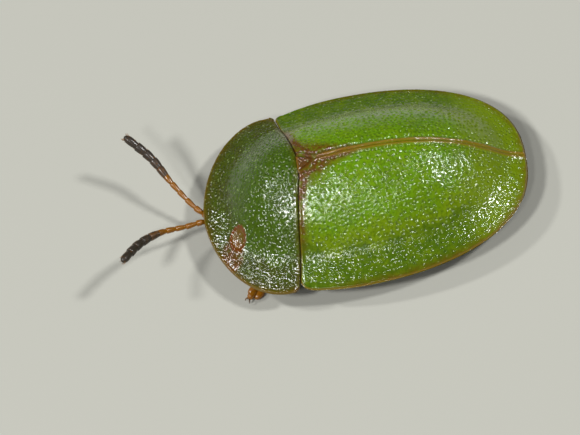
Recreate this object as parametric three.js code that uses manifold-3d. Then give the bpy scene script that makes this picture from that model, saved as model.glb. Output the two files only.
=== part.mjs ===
// A green tortoise beetle, life size, standing still with its legs drawn in under its shell.
// Millimetres. +Z is up, the head faces -Y and +X is the beetle's left. The feet stand on Z = 0.
// Plan places are given as x, and s: the distance back from the front edge of the neck shield.
import * as THREE from "three";
import { mergeVertices } from "three/addons/utils/BufferGeometryUtils.js";
import Module from "manifold-3d";

const wasm = await Module();
wasm.setup();

// Driving sizes of the shell
const BODY_LENGTH = 7.53; // from the shield's front edge to the tips of the wing cases
const HALF_WIDTH = 2.645; // at the widest place of the wing cases
const WIDEST_AT = 3.55; // s of that place
const RIM_HEIGHT = 0.66; // the shell's edge above the floor
const DOME_HEIGHT = 1.6; // the top of the back above the shell's edge
const MARGIN_SLOPE = 0.4; // rise of the flattened margin, for each mm in from the edge
const BLEND = 0.12; // how softly the dome runs into the margin
const GAP = 0.06; // left between pieces that touch

// Wing cases
const CASE_FULLNESS = { along: 2.15, across: 2.45 };
const FRONT_TAPER = 0.0347; // narrowing towards the shoulders
const CASE_DOME = { across: 2.1, along: 0.93 };
const SHOULDER_FALL = { drop: 0.16, over: 1.2 };
const SHOULDER_BUMP = { x: 1.35, s: 2.62, size: 0.32, height: 0.07 };
const CASE_BASE = { innerS: 2.43, outerX: 2.265, outerS: 2.0, corner: 0.2 };
const SUTURE_END = 7.12; // s where the last row of the case turns in to the seam
const CASE_SKIN = { edge: 0.2, grow: 0.3, most: 0.45 };

// Neck shield
const SHIELD_HALF_WIDTH = 2.46;
const SHIELD_WIDEST_AT = 1.72;
const SHIELD_FULLNESS = { along: 1.95, across: 1.8 };
const SHIELD_REAR = { innerX: 0.3, s: 2.37, corner: 0.16, sideEnd: 1.78 };
const SHIELD_DOME = { height: 1.45, across: 2.05, along: 2.0, power: 2.2, topS: 2.45 };
const SHIELD_SKIN = { edge: 0.12, grow: 0.2, most: 0.38 };

// Small triangle between the wing cases
const SCUTELLUM = { halfWidth: 0.26, length: 0.4, depth: 0.5 };

// Trunk: the dark body that the shell covers
const BELLY_HEIGHT = 0.74; // its flat underside above the floor
const TRUNK_HALF_WIDTH = 1.52;
const TRUNK_SPAN = { neck: 1.0, waist: 2.36, hips: 4.15, tail: 6.68 };
const NECK_HALF_WIDTH = 0.58;
const BELLY_RINGS = 5;
const RING_STEP = 0.035;

// Head and feelers
const HEAD = { s: 0.62, z: 0.385, width: 0.46, length: 0.33, height: 0.235, tilt: 0.42 };
const EYE = { x: 0.42, s: 0.6, z: 0.43, size: [0.13, 0.19, 0.16] };
const FEELER_JOINTS = 11;
const CLUB_JOINTS = 5;
const FEELER_RADIUS = { root: 0.11, stalk: 0.2, club: 0.24, tip: 0.06 };
const FEELER_SIDES = 8;

// Legs
const LEG_RADIUS = { hip: 0.25, thigh: 0.235, knee: 0.19, shin: 0.2, ankle: 0.19 };
const FOOT = { halfWidth: 0.225, height: 0.29, length: 0.62 };
const CLAW = { length: 0.16, radius: 0.055, spread: 0.075 };
const KNEE_HEIGHT = 0.44;
const HIP_HEIGHT = 0.43;
const ANKLE_HEIGHT = 0.21;

// Mesh fineness
const CASE_ROWS = 26;
const CASE_COLUMNS = 11;
const SHIELD_RAYS = 56;
const SHIELD_RINGS = 9;
const TRUNK_ROWS = 14;
const TRUNK_COLUMNS = 10;

// Solids

function asSolid(geometry) {
  const bare = geometry.index ? geometry.toNonIndexed() : geometry.clone();
  bare.deleteAttribute("normal");
  bare.deleteAttribute("uv");
  const merged = mergeVertices(bare, 1e-4);
  const triVerts = new Uint32Array(merged.index.array);
  const vertProperties = merged.attributes.position.array;
  return new wasm.Manifold(new wasm.Mesh({ numProp: 3, vertProperties, triVerts }));
}

function asGeometry(solid) {
  const mesh = solid.getMesh();
  const geometry = new THREE.BufferGeometry();
  geometry.setAttribute("position", new THREE.BufferAttribute(mesh.vertProperties, 3));
  geometry.setIndex(new THREE.BufferAttribute(mesh.triVerts, 1));
  return geometry;
}

// Joins overlapping pieces into one closed body, and keeps its largest closed surface.
function fuse(geometries) {
  const joined = geometries.map(asSolid).reduce((all, next) => all.add(next));
  const bodies = joined.decompose().sort((a, b) => b.volume() - a.volume());
  return bodies[0];
}

function closedGeometry(points, triangles) {
  let volume = 0;
  for (const [a, b, c] of triangles) {
    const cross = new THREE.Vector3().crossVectors(points[b], points[c]);
    volume += points[a].dot(cross);
  }
  const facing = volume > 0 ? triangles : triangles.map(([a, b, c]) => [a, c, b]);
  const geometry = new THREE.BufferGeometry().setFromPoints(points);
  geometry.setIndex(facing.flat());
  return geometry;
}

// A plate over a grid of plan places: its top and its underside are both split the same way.
// plan(row, column) gives [x, s]; both run from 0 to 1.
function gridPlate(rows, columns, plan, topAt, underAt) {
  const points = [];
  const faces = [];
  const places = [];
  for (let i = 0; i <= rows; i++)
    for (let j = 0; j <= columns; j++) places.push(plan(i / rows, j / columns));
  places.forEach(([x, s]) => points.push(new THREE.Vector3(x, s, topAt(x, s))));
  places.forEach(([x, s]) => points.push(new THREE.Vector3(x, s, underAt(x, s))));
  const count = places.length;
  const at = (i, j) => i * (columns + 1) + j;
  for (let i = 0; i < rows; i++)
    for (let j = 0; j < columns; j++) {
      const [a, b, c, d] = [at(i, j), at(i + 1, j), at(i + 1, j + 1), at(i, j + 1)];
      faces.push([a, b, c], [a, c, d]);
      faces.push([count + a, count + c, count + b], [count + a, count + d, count + c]);
    }
  const border = [];
  for (let j = 0; j < columns; j++) border.push(at(0, j));
  for (let i = 0; i < rows; i++) border.push(at(i, columns));
  for (let j = columns; j > 0; j--) border.push(at(rows, j));
  for (let i = rows; i > 0; i--) border.push(at(i, 0));
  border.forEach((a, k) => {
    const b = border[(k + 1) % border.length];
    faces.push([a, b, count + b], [a, count + b, count + a]);
  });
  return closedGeometry(points, faces);
}

// A plate whose plan places lie on rays from a centre out to a closed outline.
function rayPlate(outline, rings, centre, topAt, underAt) {
  const points = [];
  const faces = [];
  const rays = outline.length;
  for (const heightAt of [topAt, underAt]) {
    points.push(new THREE.Vector3(...centre, heightAt(...centre)));
    for (let ring = 1; ring <= rings; ring++) {
      const share = Math.sin((ring / rings) * Math.PI / 2);
      for (const [x, s] of outline) {
        const px = centre[0] + (x - centre[0]) * share;
        const ps = centre[1] + (s - centre[1]) * share;
        points.push(new THREE.Vector3(px, ps, heightAt(px, ps)));
      }
    }
  }
  const count = 1 + rings * rays;
  const at = (ring, ray) => 1 + (ring - 1) * rays + (ray % rays);
  for (let k = 0; k < rays; k++) {
    faces.push([0, at(1, k), at(1, k + 1)]);
    faces.push([count, count + at(1, k + 1), count + at(1, k)]);
    for (let ring = 1; ring < rings; ring++) {
      const [a, b] = [at(ring, k), at(ring + 1, k)];
      const [c, d] = [at(ring + 1, k + 1), at(ring, k + 1)];
      faces.push([a, b, c], [a, c, d]);
      faces.push([count + a, count + c, count + b], [count + a, count + d, count + c]);
    }
    const [a, b] = [at(rings, k), at(rings, k + 1)];
    faces.push([a, count + a, count + b], [a, count + b, b]);
  }
  return closedGeometry(points, faces);
}

// A limb along a curve. radiusAt(t) is its radius; flat makes it lower than it is wide.
function limb(curve, rings, sides, radiusAt, flat = 1) {
  const points = [curve.getPointAt(0)];
  const faces = [];
  const up = new THREE.Vector3(0, 0, 1);
  for (let i = 0; i <= rings; i++) {
    const t = i / rings;
    const along = curve.getTangentAt(t);
    const across = new THREE.Vector3().crossVectors(along, up).normalize();
    const over = new THREE.Vector3().crossVectors(across, along).normalize();
    const radius = radiusAt(t);
    for (let k = 0; k < sides; k++) {
      const turn = ((k + 0.5) / sides) * Math.PI * 2;
      const point = curve.getPointAt(t);
      point.addScaledVector(across, radius * Math.cos(turn));
      point.addScaledVector(over, radius * flat * Math.sin(turn));
      points.push(point);
    }
  }
  points.push(curve.getPointAt(1));
  const at = (i, k) => 1 + i * sides + (k % sides);
  const last = points.length - 1;
  for (let k = 0; k < sides; k++) {
    faces.push([0, at(0, k + 1), at(0, k)], [last, at(rings, k), at(rings, k + 1)]);
    for (let i = 0; i < rings; i++) {
      faces.push([at(i, k), at(i, k + 1), at(i + 1, k + 1)]);
      faces.push([at(i, k), at(i + 1, k + 1), at(i + 1, k)]);
    }
  }
  return closedGeometry(points, faces);
}

function ball(size, place, across = 10, down = 7) {
  const geometry = new THREE.SphereGeometry(1, across, down);
  return geometry.scale(...size).translate(...place);
}

const straight = (from, to) => new THREE.LineCurve3(point(from), point(to));
const point = (place) => new THREE.Vector3(...place);
const mix = (a, b, t) => a + (b - a) * t;

// Points evenly spaced along a polyline of plan places
function respace(line, count) {
  const path = new THREE.CurvePath();
  for (let i = 1; i < line.length; i++)
    path.add(new THREE.LineCurve(new THREE.Vector2(...line[i - 1]), new THREE.Vector2(...line[i])));
  return path.getSpacedPoints(count).map((p) => [p.x, p.y]);
}

function arc(centre, radius, from, to, steps) {
  const points = [];
  for (let i = 0; i <= steps; i++) {
    const turn = mix(from, to, i / steps);
    points.push([centre[0] + radius * Math.cos(turn), centre[1] + radius * Math.sin(turn)]);
  }
  return points;
}

// Outline of the shell, seen from above

function caseSide() {
  const side = [];
  const start = CASE_BASE.outerS + CASE_BASE.corner;
  for (let i = 0; i <= 12; i++) {
    const s = mix(start, WIDEST_AT, i / 12);
    side.push([HALF_WIDTH * (1 - FRONT_TAPER * (WIDEST_AT - s) ** 2), s]);
  }
  for (let i = 1; i <= 48; i++) {
    const turn = ((i / 48) * Math.PI) / 2;
    const x = HALF_WIDTH * Math.max(Math.cos(turn), 0) ** (2 / CASE_FULLNESS.across);
    const share = Math.sin(turn) ** (2 / CASE_FULLNESS.along);
    side.push([Math.max(x, GAP / 2), mix(WIDEST_AT, BODY_LENGTH, share)]);
  }
  return side;
}

function shieldFront() {
  const front = [];
  for (let i = 0; i <= 40; i++) {
    const turn = ((i / 40) * Math.PI) / 2;
    const x = SHIELD_HALF_WIDTH * Math.sin(turn) ** (2 / SHIELD_FULLNESS.across);
    const left = Math.max(Math.cos(turn), 0) ** (2 / SHIELD_FULLNESS.along);
    front.push([x, SHIELD_WIDEST_AT * (1 - left)]);
  }
  front.push([SHIELD_HALF_WIDTH, SHIELD_REAR.sideEnd]);
  return front;
}

const CASE_SIDE = caseSide();
const SHIELD_FRONT = shieldFront();

function distanceTo(line, x, s) {
  let nearest = Infinity;
  for (let i = 1; i < line.length; i++) {
    const [ax, as] = line[i - 1];
    const [dx, ds] = [line[i][0] - ax, line[i][1] - as];
    const along = ((x - ax) * dx + (s - as) * ds) / (dx * dx + ds * ds);
    const t = Math.min(Math.max(along, 0), 1);
    nearest = Math.min(nearest, Math.hypot(x - ax - t * dx, s - as - t * ds));
  }
  return nearest;
}

// Heights of the shell

const smoothMax = (a, b) => (a + b + Math.hypot(a - b, BLEND)) / 2 - BLEND / 4;

function caseTop(x, s) {
  const side = Math.abs(x);
  const back = Math.max((s - WIDEST_AT) / (BODY_LENGTH - WIDEST_AT), 0);
  const fall = (side / CASE_DOME.across) ** 2 + (back / CASE_DOME.along) ** 2.8;
  const front = Math.max((WIDEST_AT - s) / SHOULDER_FALL.over, 0);
  const dome = DOME_HEIGHT * (1 - fall) - SHOULDER_FALL.drop * Math.min(front, 1) ** 1.5;
  const margin = MARGIN_SLOPE * distanceTo(CASE_SIDE, side, s);
  const away = Math.hypot(side - SHOULDER_BUMP.x, s - SHOULDER_BUMP.s) / SHOULDER_BUMP.size;
  return RIM_HEIGHT + smoothMax(dome, margin) + SHOULDER_BUMP.height * Math.exp(-away * away);
}

function shieldTop(x, s) {
  const side = Math.abs(x);
  const ahead = Math.max(SHIELD_DOME.topS - s, 0) / SHIELD_DOME.along;
  const fall = (side / SHIELD_DOME.across) ** 2 + ahead ** SHIELD_DOME.power;
  const dome = SHIELD_DOME.height * (1 - fall);
  const margin = MARGIN_SLOPE * distanceTo(SHIELD_FRONT, side, s);
  return RIM_HEIGHT + smoothMax(dome, margin);
}

function underOf(topAt, line, skin) {
  return (x, s) => {
    const inward = distanceTo(line, Math.abs(x), s);
    return topAt(x, s) - Math.min(skin.edge + skin.grow * inward, skin.most);
  };
}

const caseUnder = underOf(caseTop, CASE_SIDE, CASE_SKIN);
const shieldUnder = underOf(shieldTop, SHIELD_FRONT, SHIELD_SKIN);

// Pieces of the shell

// The inner edge of a wing case: beside the small triangle first, then along the seam.
function seamX(s) {
  const share = 1 - (s - CASE_BASE.innerS) / SCUTELLUM.length;
  return Math.max(SCUTELLUM.halfWidth * share + GAP, GAP / 2);
}

function wingCase(hand) {
  const { innerS, outerX, outerS, corner } = CASE_BASE;
  const turn = arc([outerX, outerS + corner], corner, -Math.PI / 2, -0.1, 5);
  const edge = respace([...turn, ...CASE_SIDE], CASE_ROWS);
  const plan = (row, column) => {
    const [x, s] = edge[Math.round(row * CASE_ROWS)];
    const rootS = mix(innerS, SUTURE_END, row);
    const rootX = row === 1 ? GAP / 2 : seamX(rootS);
    return [hand * mix(rootX, x, column), mix(rootS, s, column)];
  };
  return gridPlate(CASE_ROWS, CASE_COLUMNS, plan, caseTop, caseUnder);
}

function neckShield() {
  const { innerX, s, corner, sideEnd } = SHIELD_REAR;
  const turn = arc([SHIELD_HALF_WIDTH - corner, sideEnd], corner, 0.2, Math.PI / 2, 4);
  const half = [...SHIELD_FRONT, ...turn, [innerX, s]];
  half.push([0, s]);
  const left = respace(half, SHIELD_RAYS / 2);
  const right = left.slice(1, -1).reverse().map(([x, y]) => [-x, y]);
  const centre = [0, SHIELD_WIDEST_AT * 0.85];
  return rayPlate([...left, ...right], SHIELD_RINGS, centre, shieldTop, shieldUnder);
}

function scutellum() {
  const { halfWidth, length, depth } = SCUTELLUM;
  const front = CASE_BASE.innerS;
  const plan = (row, column) => {
    const reach = halfWidth * (1 - 0.92 * row);
    return [mix(-reach, reach, column), front + row * length];
  };
  return gridPlate(3, 4, plan, caseTop, (x, s) => caseTop(x, s) - depth);
}

// Trunk

function trunkHalfWidth(s) {
  const { neck, waist, tail } = TRUNK_SPAN;
  if (s < waist) {
    const share = (s - neck) / (waist - neck);
    return mix(NECK_HALF_WIDTH, TRUNK_HALF_WIDTH * 0.93, Math.sin((share * Math.PI) / 2));
  }
  const back = Math.max((s - WIDEST_AT) / (tail - WIDEST_AT), 0);
  const front = Math.max((WIDEST_AT - s) / (WIDEST_AT - waist), 0);
  return TRUNK_HALF_WIDTH * (1 - back ** 2.4) ** (1 / 2.2) * (1 - 0.07 * front ** 2);
}

function bellyAt(x) {
  const side = Math.abs(x) / TRUNK_HALF_WIDTH;
  return BELLY_HEIGHT + 0.03 * side ** 4;
}

// The rings of the abdomen lap over one another like shingles.
function abdomenBelly(x, s) {
  const share = (s - TRUNK_SPAN.hips) / (TRUNK_SPAN.tail - TRUNK_SPAN.hips);
  const step = (share * BELLY_RINGS) % 1;
  return bellyAt(x) + RING_STEP * step;
}

function trunkPart(from, to, rows, roofAt, floorAt) {
  const plan = (row, column) => {
    const s = mix(from, to, row);
    const reach = trunkHalfWidth(s) * Math.sin((column * 2 - 1) * Math.PI / 2);
    return [reach, s];
  };
  const top = (x, s) => roofAt(x, s) - GAP;
  return gridPlate(rows, TRUNK_COLUMNS, plan, top, floorAt);
}

// Head and feelers

function head() {
  const capsule = new THREE.SphereGeometry(1, 16, 12);
  capsule.scale(HEAD.width, HEAD.length, HEAD.height);
  capsule.rotateX(HEAD.tilt).translate(0, HEAD.s, HEAD.z);
  const neck = ball([0.34, 0.26, 0.2], [0, 0.78, 0.5]);
  const face = ball([0.24, 0.2, 0.16], [0, 0.42, 0.25]);
  const lip = ball([0.16, 0.1, 0.07], [0, 0.34, 0.15]);
  const pieces = [capsule, neck, face, lip];
  for (const hand of [1, -1]) {
    const jaw = straight([hand * 0.15, 0.42, 0.2], [hand * 0.03, 0.3, 0.07]);
    pieces.push(limb(jaw, 3, 6, (t) => mix(0.07, 0.025, t)));
    const palp = straight([hand * 0.18, 0.5, 0.2], [hand * 0.25, 0.34, 0.07]);
    pieces.push(limb(palp, 4, 6, (t) => 0.045 + 0.015 * Math.sin(t * 9)));
    const socket = ball([0.11, 0.08, 0.1], [hand * 0.15, 0.36, 0.36]);
    pieces.push(socket);
  }
  return asGeometry(fuse(pieces));
}

// Each feeler is a string of joints; the last five make the dark club.
function feelerRadius(t) {
  const joint = Math.min(Math.floor(t * FEELER_JOINTS), FEELER_JOINTS - 1);
  const within = t * FEELER_JOINTS - joint;
  const { root, stalk, club, tip } = FEELER_RADIUS;
  const rise = Math.min(t / 0.3, 1);
  const clubShare = 1 / (1 + Math.exp(-(joint - (FEELER_JOINTS - CLUB_JOINTS) + 0.5) * 2));
  const full = mix(root, mix(stalk, club, clubShare), rise);
  const end = Math.max((t - 0.9) / 0.1, 0);
  const waist = 0.86 + 0.14 * Math.sin(Math.min(Math.max(within, 0), 1) * Math.PI);
  return Math.max(full * waist * Math.sqrt(1 - end * end * 0.95), tip * (1 - end));
}

function feeler(route) {
  const curve = new THREE.CatmullRomCurve3(route.map(point), false, "centripetal");
  return limb(curve, FEELER_JOINTS * 4, FEELER_SIDES, feelerRadius);
}

// Legs

// hip, knee, ankle and toe are [x, s] places for the left side.
function leg(hand, { hip, knee, ankle, toe }) {
  const at = ([x, s], z) => [hand * x, s, z];
  const pieces = [];
  const hipTop = BELLY_HEIGHT - GAP;
  const socket = new THREE.CylinderGeometry(LEG_RADIUS.hip, LEG_RADIUS.hip, hipTop - 0.3, 12);
  socket.rotateX(Math.PI / 2).translate(hand * hip[0], hip[1], (hipTop + 0.3) / 2);
  pieces.push(socket);
  const thigh = straight(at(hip, HIP_HEIGHT), at(knee, KNEE_HEIGHT));
  const { thigh: full, knee: narrow, shin, ankle: thin } = LEG_RADIUS;
  pieces.push(limb(thigh, 6, 8, (t) => mix(narrow, full, Math.sin(Math.PI * (0.25 + 0.6 * t)))));
  pieces.push(ball([narrow, narrow, narrow], at(knee, KNEE_HEIGHT), 8, 6));
  const lower = straight(at(knee, KNEE_HEIGHT), at(ankle, ANKLE_HEIGHT));
  pieces.push(limb(lower, 4, 8, (t) => mix(thin, shin, t)));
  pieces.push(...foot(hand, ankle, toe));
  const body = fuse(pieces);
  const below = new THREE.BoxGeometry(20, 20, 2).translate(0, 0, -1);
  return asGeometry(body.subtract(asSolid(below)));
}

// Four pads in a row, the third one two-lobed, and a pair of claws.
function foot(hand, ankle, toe) {
  const pieces = [];
  const heading = Math.atan2(toe[1] - ankle[1], hand * (toe[0] - ankle[0]));
  const length = Math.hypot(toe[0] - ankle[0], toe[1] - ankle[1]);
  const pad = (along, across, size) => {
    const made = new THREE.SphereGeometry(1, 8, 6).scale(...size);
    made.translate(along * length, across, size[2] - 0.03).rotateZ(heading);
    return made.translate(hand * ankle[0], ankle[1], 0);
  };
  const { halfWidth, height } = FOOT;
  const tall = height / 2;
  pieces.push(pad(0.06, 0, [0.2, halfWidth * 0.9, tall + 0.04]));
  pieces.push(pad(0.3, 0, [0.15, halfWidth * 0.95, tall]));
  for (const side of [1, -1])
    pieces.push(pad(0.56, side * halfWidth * 0.42, [0.17, halfWidth * 0.62, tall * 0.9]));
  pieces.push(pad(0.8, 0, [0.15, halfWidth * 0.75, tall * 0.85]));
  for (const side of [1, -1]) {
    const root = [length * 0.85, side * CLAW.spread * 0.6, 0.12];
    const tip = [length * 0.85 + CLAW.length, side * CLAW.spread, CLAW.radius * 0.6];
    const claw = limb(straight(root, tip), 3, 6, (t) => CLAW.radius * (1.2 - 0.9 * t));
    pieces.push(claw.rotateZ(heading).translate(hand * ankle[0], ankle[1], 0));
  }
  return pieces;
}

// Places of the legs, as the left one of each pair, with the left front foot just showing
const LEG_PLACES = {
  front: { hip: [0.34, 1.62], knee: [1.2, 1.66], ankle: [1.62, 1.2], toe: [2.04, 0.72] },
  middle: { hip: [0.46, 2.86], knee: [1.32, 2.74], ankle: [1.62, 3.32], toe: [2.12, 3.62] },
  hind: { hip: [0.46, 3.8], knee: [1.3, 4.25], ankle: [1.52, 4.9], toe: [1.86, 5.42] },
};

// The feelers' routes: x, s and height
const FEELER_ROUTES = {
  right: [
    [-0.2, 0.24, 0.35],
    [-0.28, 0.0, 0.36],
    [-0.56, -0.27, 0.56],
    [-1.05, -0.61, 0.86],
    [-1.64, -0.96, 1.14],
    [-2.14, -1.47, 1.5],
  ],
  left: [
    [0.12, 0.24, 0.35],
    [0.07, 0.0, 0.36],
    [0.12, -0.42, 0.6],
    [0.31, -1.02, 0.88],
    [0.66, -1.5, 1.12],
    [1.23, -1.91, 1.4],
  ],
};

// Finishes

const finish = (color, roughness) =>
  new THREE.MeshStandardMaterial({ color, roughness, metalness: 0 });
const GREEN = finish(0x5f8a10, 0.35);
const SHIELD_GREEN = finish(0x587512, 0.32);
const RUST = finish(0x6e3a12, 0.35);
const BLACK = finish(0x17130f, 0.35);
const AMBER = finish(0x9a5418, 0.4);

const beetle = new THREE.Group();

function add(name, geometry, material) {
  const mesh = new THREE.Mesh(geometry, material);
  mesh.name = name;
  beetle.add(mesh);
}

const { neck, waist, hips, tail } = TRUNK_SPAN;
add("pronotum", neckShield(), SHIELD_GREEN);
add("scutellum", scutellum(), RUST);
add("elytron_left", wingCase(1), GREEN);
add("elytron_right", wingCase(-1), GREEN);
add("prothorax", trunkPart(neck, waist - GAP, 6, shieldUnder, bellyAt), BLACK);
add("hind_thorax", trunkPart(waist, hips - GAP, 6, caseUnder, bellyAt), BLACK);
add("abdomen", trunkPart(hips, tail - 0.02, TRUNK_ROWS, caseUnder, abdomenBelly), BLACK);
add("head", head(), BLACK);
for (const [side, hand] of [["left", 1], ["right", -1]]) {
  const { x, s, z, size } = EYE;
  add(`eye_${side}`, ball(size, [hand * x, s, z], 12, 8), BLACK);
  add(`antenna_${side}`, feeler(FEELER_ROUTES[side]), AMBER);
  for (const [pair, places] of Object.entries(LEG_PLACES))
    add(`leg_${pair}_${side}`, leg(hand, places), AMBER);
}

// The origin is on the floor, under the middle of the whole animal, feelers included.
const middle = new THREE.Box3().setFromObject(beetle).getCenter(new THREE.Vector3());
beetle.position.set(0, -middle.y, 0);

export default beetle;
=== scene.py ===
# %% [markdown]
# # A green tortoise beetle
# This notebook builds a life-size tortoise beetle, about 7.5 mm long, as it rests: legs drawn
# in, head under the neck shield, feelers spread forward.
#
# The animal's plain solids are loaded first, and they fix where every part sits. Each piece
# made below stands where its solid stands and takes its place, with the finer shape and the
# finish that the solid lacks. The cells go from the outside in: the shell, the trunk, the
# head, the feelers and the legs, and at last the floor, the camera and the lamps.

# %% Load the frame
import math

import bpy
import numpy as np
from mathutils import Matrix, Vector, kdtree


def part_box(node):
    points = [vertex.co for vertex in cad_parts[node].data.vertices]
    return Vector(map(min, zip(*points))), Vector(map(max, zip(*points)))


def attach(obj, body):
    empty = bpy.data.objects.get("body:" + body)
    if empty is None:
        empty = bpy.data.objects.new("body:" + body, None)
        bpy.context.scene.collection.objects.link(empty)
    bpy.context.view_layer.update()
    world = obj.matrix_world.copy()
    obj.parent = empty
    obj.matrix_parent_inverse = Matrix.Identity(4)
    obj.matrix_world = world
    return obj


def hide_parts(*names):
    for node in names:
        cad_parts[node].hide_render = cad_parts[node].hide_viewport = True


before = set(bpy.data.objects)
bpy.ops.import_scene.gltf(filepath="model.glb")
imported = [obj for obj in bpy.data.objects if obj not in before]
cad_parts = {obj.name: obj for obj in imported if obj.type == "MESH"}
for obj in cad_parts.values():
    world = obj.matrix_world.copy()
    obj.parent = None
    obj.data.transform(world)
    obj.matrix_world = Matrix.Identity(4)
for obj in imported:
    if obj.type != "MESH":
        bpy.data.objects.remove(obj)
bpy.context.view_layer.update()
MM = 0.001
FRONT_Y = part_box("pronotum")[0][1] / MM
print("front of the neck shield at y =", round(FRONT_Y, 3), "mm")

# %% [markdown]
# ## Sizes
# From above, the shell is a blunt oval: a half-moon shield over the head, and behind it two
# wing cases that meet at a seam. From the side it is a low dome with a flattened margin all
# round, like a shallow hat. The sizes could be typed in where each piece is made, but pieces
# that share an edge would soon disagree, so each size has one name, here.
#
# A place on the animal is x, to its left, and s, straight back from the front edge of the
# neck shield. Sizes are in millimetres. MM turns them into Blender's metres in one place,
# where a piece is made.

# %% Sizes
BODY_LENGTH = 7.53
HALF_WIDTH = 2.645  # of both wing cases, reached at WIDEST_AT
WIDEST_AT = 3.55
RIM_HEIGHT = 0.66  # of the shell's edge above the floor
MARGIN_SLOPE = 0.4  # how steeply the flattened margin climbs from the edge
BASE_S = 2.43  # s of the wing cases' front edge, beside the seam
BASE_BEND = 0.3  # x where that edge turns forward
SHOULDER_X, SHOULDER_S, SHOULDER_RADIUS = 2.265, 2.0, 0.2
SHIELD_HALF_WIDTH, SHIELD_WIDEST_AT = 2.46, 1.72
SHIELD_SIDE_END = 1.83  # s where the shield's side ends and its rear corner begins
SHIELD_CORNER = 0.14  # radius of that corner
SHIELD_REAR_S, SHIELD_REAR_BEND = 2.424, 0.3  # s of the rear edge, and x where it bends
SCUTELLUM_HALF_WIDTH, SCUTELLUM_LENGTH = 0.235, 0.4
SHELL_EDGE = 0.045  # thickness of the shell at its rim
print(f"shell {BODY_LENGTH} mm long, {2 * HALF_WIDTH} mm wide, its rim {RIM_HEIGHT} mm up")

# %% [markdown]
# ## Ramps and ridges
# Beads, grooves, stains and bands of colour all fade in and out. They could be drawn by hand
# with falloff curves, but two small formulas do it for every point at once. smooth_step
# climbs from 0 to 1 without a kink at either end. bell is a rounded ridge, 1 at its middle
# and almost nothing two widths away. ridges stacks a few such ridges along one line.

# %% Ramps and ridges
def smooth_step(value, low, high):
    share = np.clip((value - low) / (high - low), 0, 1)
    return share * share * (3 - 2 * share)


def bell(value, centre, width):
    return np.exp(-(((value - centre) / width) ** 2))


def ridges(distance, *profiles):
    """Each profile is a ridge's height, its distance from the line and its width."""
    return sum(height * bell(distance, centre, width) for height, centre, width in profiles)


print("a ridge is", round(float(bell(0.05, 0, 0.1)), 2), "of its height half a width away")

# %% [markdown]
# ## Lines
# The edge of the shell, the path of a feeler and the bend of a shin are lines. Blender's curve
# objects could hold them, but plain lists of points are easier to measure against. spaced
# puts points evenly along a line, smooth_route draws a Catmull-Rom curve through a few places,
# and distance_to tells how far any place is from a line.

# %% Lines
def reach_along(line):
    """How far each point of a line lies along it."""
    return np.concatenate([[0], np.cumsum(np.linalg.norm(np.diff(line, axis=0), axis=1))])


def spaced(line, count):
    line = np.array(line, float)
    reach = reach_along(line)
    wanted = np.linspace(0, reach[-1], count)
    return np.stack([np.interp(wanted, reach, line[:, k]) for k in range(line.shape[1])], axis=1)


def smooth_route(route, count):
    route = np.array(route, float)
    route = np.vstack([2 * route[0] - route[1], route, 2 * route[-1] - route[-2]])
    curve = []
    for k in range(1, len(route) - 2):
        a, b, c, d = route[k - 1:k + 3]
        for t in np.linspace(0, 1, 24, endpoint=False):
            curve.append(0.5 * (2 * b + (c - a) * t + (2 * a - 5 * b + 4 * c - d) * t * t
                                + (3 * b - a - 3 * c + d) * t ** 3))
    curve.append(route[-2])
    return spaced(curve, count)


def distance_to(line, x, s):
    nearest = np.full(np.shape(x), 1e9)
    for (ax, sa), (bx, sb) in zip(line[:-1], line[1:]):
        dx, ds = bx - ax, sb - sa
        share = np.clip(((x - ax) * dx + (s - sa) * ds) / (dx * dx + ds * ds), 0, 1)
        nearest = np.minimum(nearest, np.hypot(x - ax - share * dx, s - sa - share * ds))
    return nearest


print("points on a curve through three places:", len(smooth_route([(0, 0), (1, 1), (2, 0)], 9)))

# %% [markdown]
# ## The outline
# The rim of a real tortoise beetle has no straight stretch and no true circle in it. Tracing
# it point by point would take a long list of numbers and would still show small kinks in the
# shine. A superellipse, which is a circle whose sine and cosine are raised to a power, gives
# the same full curve from two sizes and two powers.

# %% The outline
CASE_POWERS = (2 / 2.45, 2 / 2.15)  # fullness across and along; a plain oval has 1 and 1
SHIELD_POWERS = (2 / 1.8, 2 / 1.95)
CASE_TAPER = 0.0347  # how fast the wing cases narrow from WIDEST_AT to the shoulder


def case_side():
    s = np.linspace(SHOULDER_S + SHOULDER_RADIUS, WIDEST_AT, 40)
    front = np.stack([HALF_WIDTH * (1 - CASE_TAPER * (WIDEST_AT - s) ** 2), s], axis=1)
    turn = np.linspace(0, np.pi / 2, 160)[1:]
    x = HALF_WIDTH * np.maximum(np.cos(turn), 0) ** CASE_POWERS[0]
    s = WIDEST_AT + (BODY_LENGTH - WIDEST_AT) * np.sin(turn) ** CASE_POWERS[1]
    return np.vstack([front, np.stack([x, s], axis=1)])


def shoulder():
    turn = np.linspace(-np.pi / 2, -0.1, 12)
    x = SHOULDER_X + SHOULDER_RADIUS * np.cos(turn)
    s = SHOULDER_S + SHOULDER_RADIUS + SHOULDER_RADIUS * np.sin(turn)
    return np.stack([x, s], axis=1)


def shield_front():
    turn = np.linspace(0, np.pi / 2, 160)
    x = SHIELD_HALF_WIDTH * np.sin(turn) ** SHIELD_POWERS[0]
    s = SHIELD_WIDEST_AT * (1 - np.maximum(np.cos(turn), 0) ** SHIELD_POWERS[1])
    return np.vstack([np.stack([x, s], axis=1), (SHIELD_HALF_WIDTH + 1e-4, SHIELD_SIDE_END)])


CASE_SIDE = case_side()
CASE_RIM = np.vstack([shoulder(), CASE_SIDE])
SHIELD_FRONT = shield_front()
print(f"one wing case has {reach_along(CASE_RIM)[-1]:.2f} mm of rim")

# %% [markdown]
# ## Heights
# The shell is one dome set in one flat margin. Sculpting could make it, but every later piece
# has to sit on it, so its height is a formula: at each place the dome or the margin, whichever
# is higher. A plain maximum would leave a sharp fold where they meet, so smooth_max
# rounds that fold. A low swelling marks each shoulder, as on the real animal.

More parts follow.
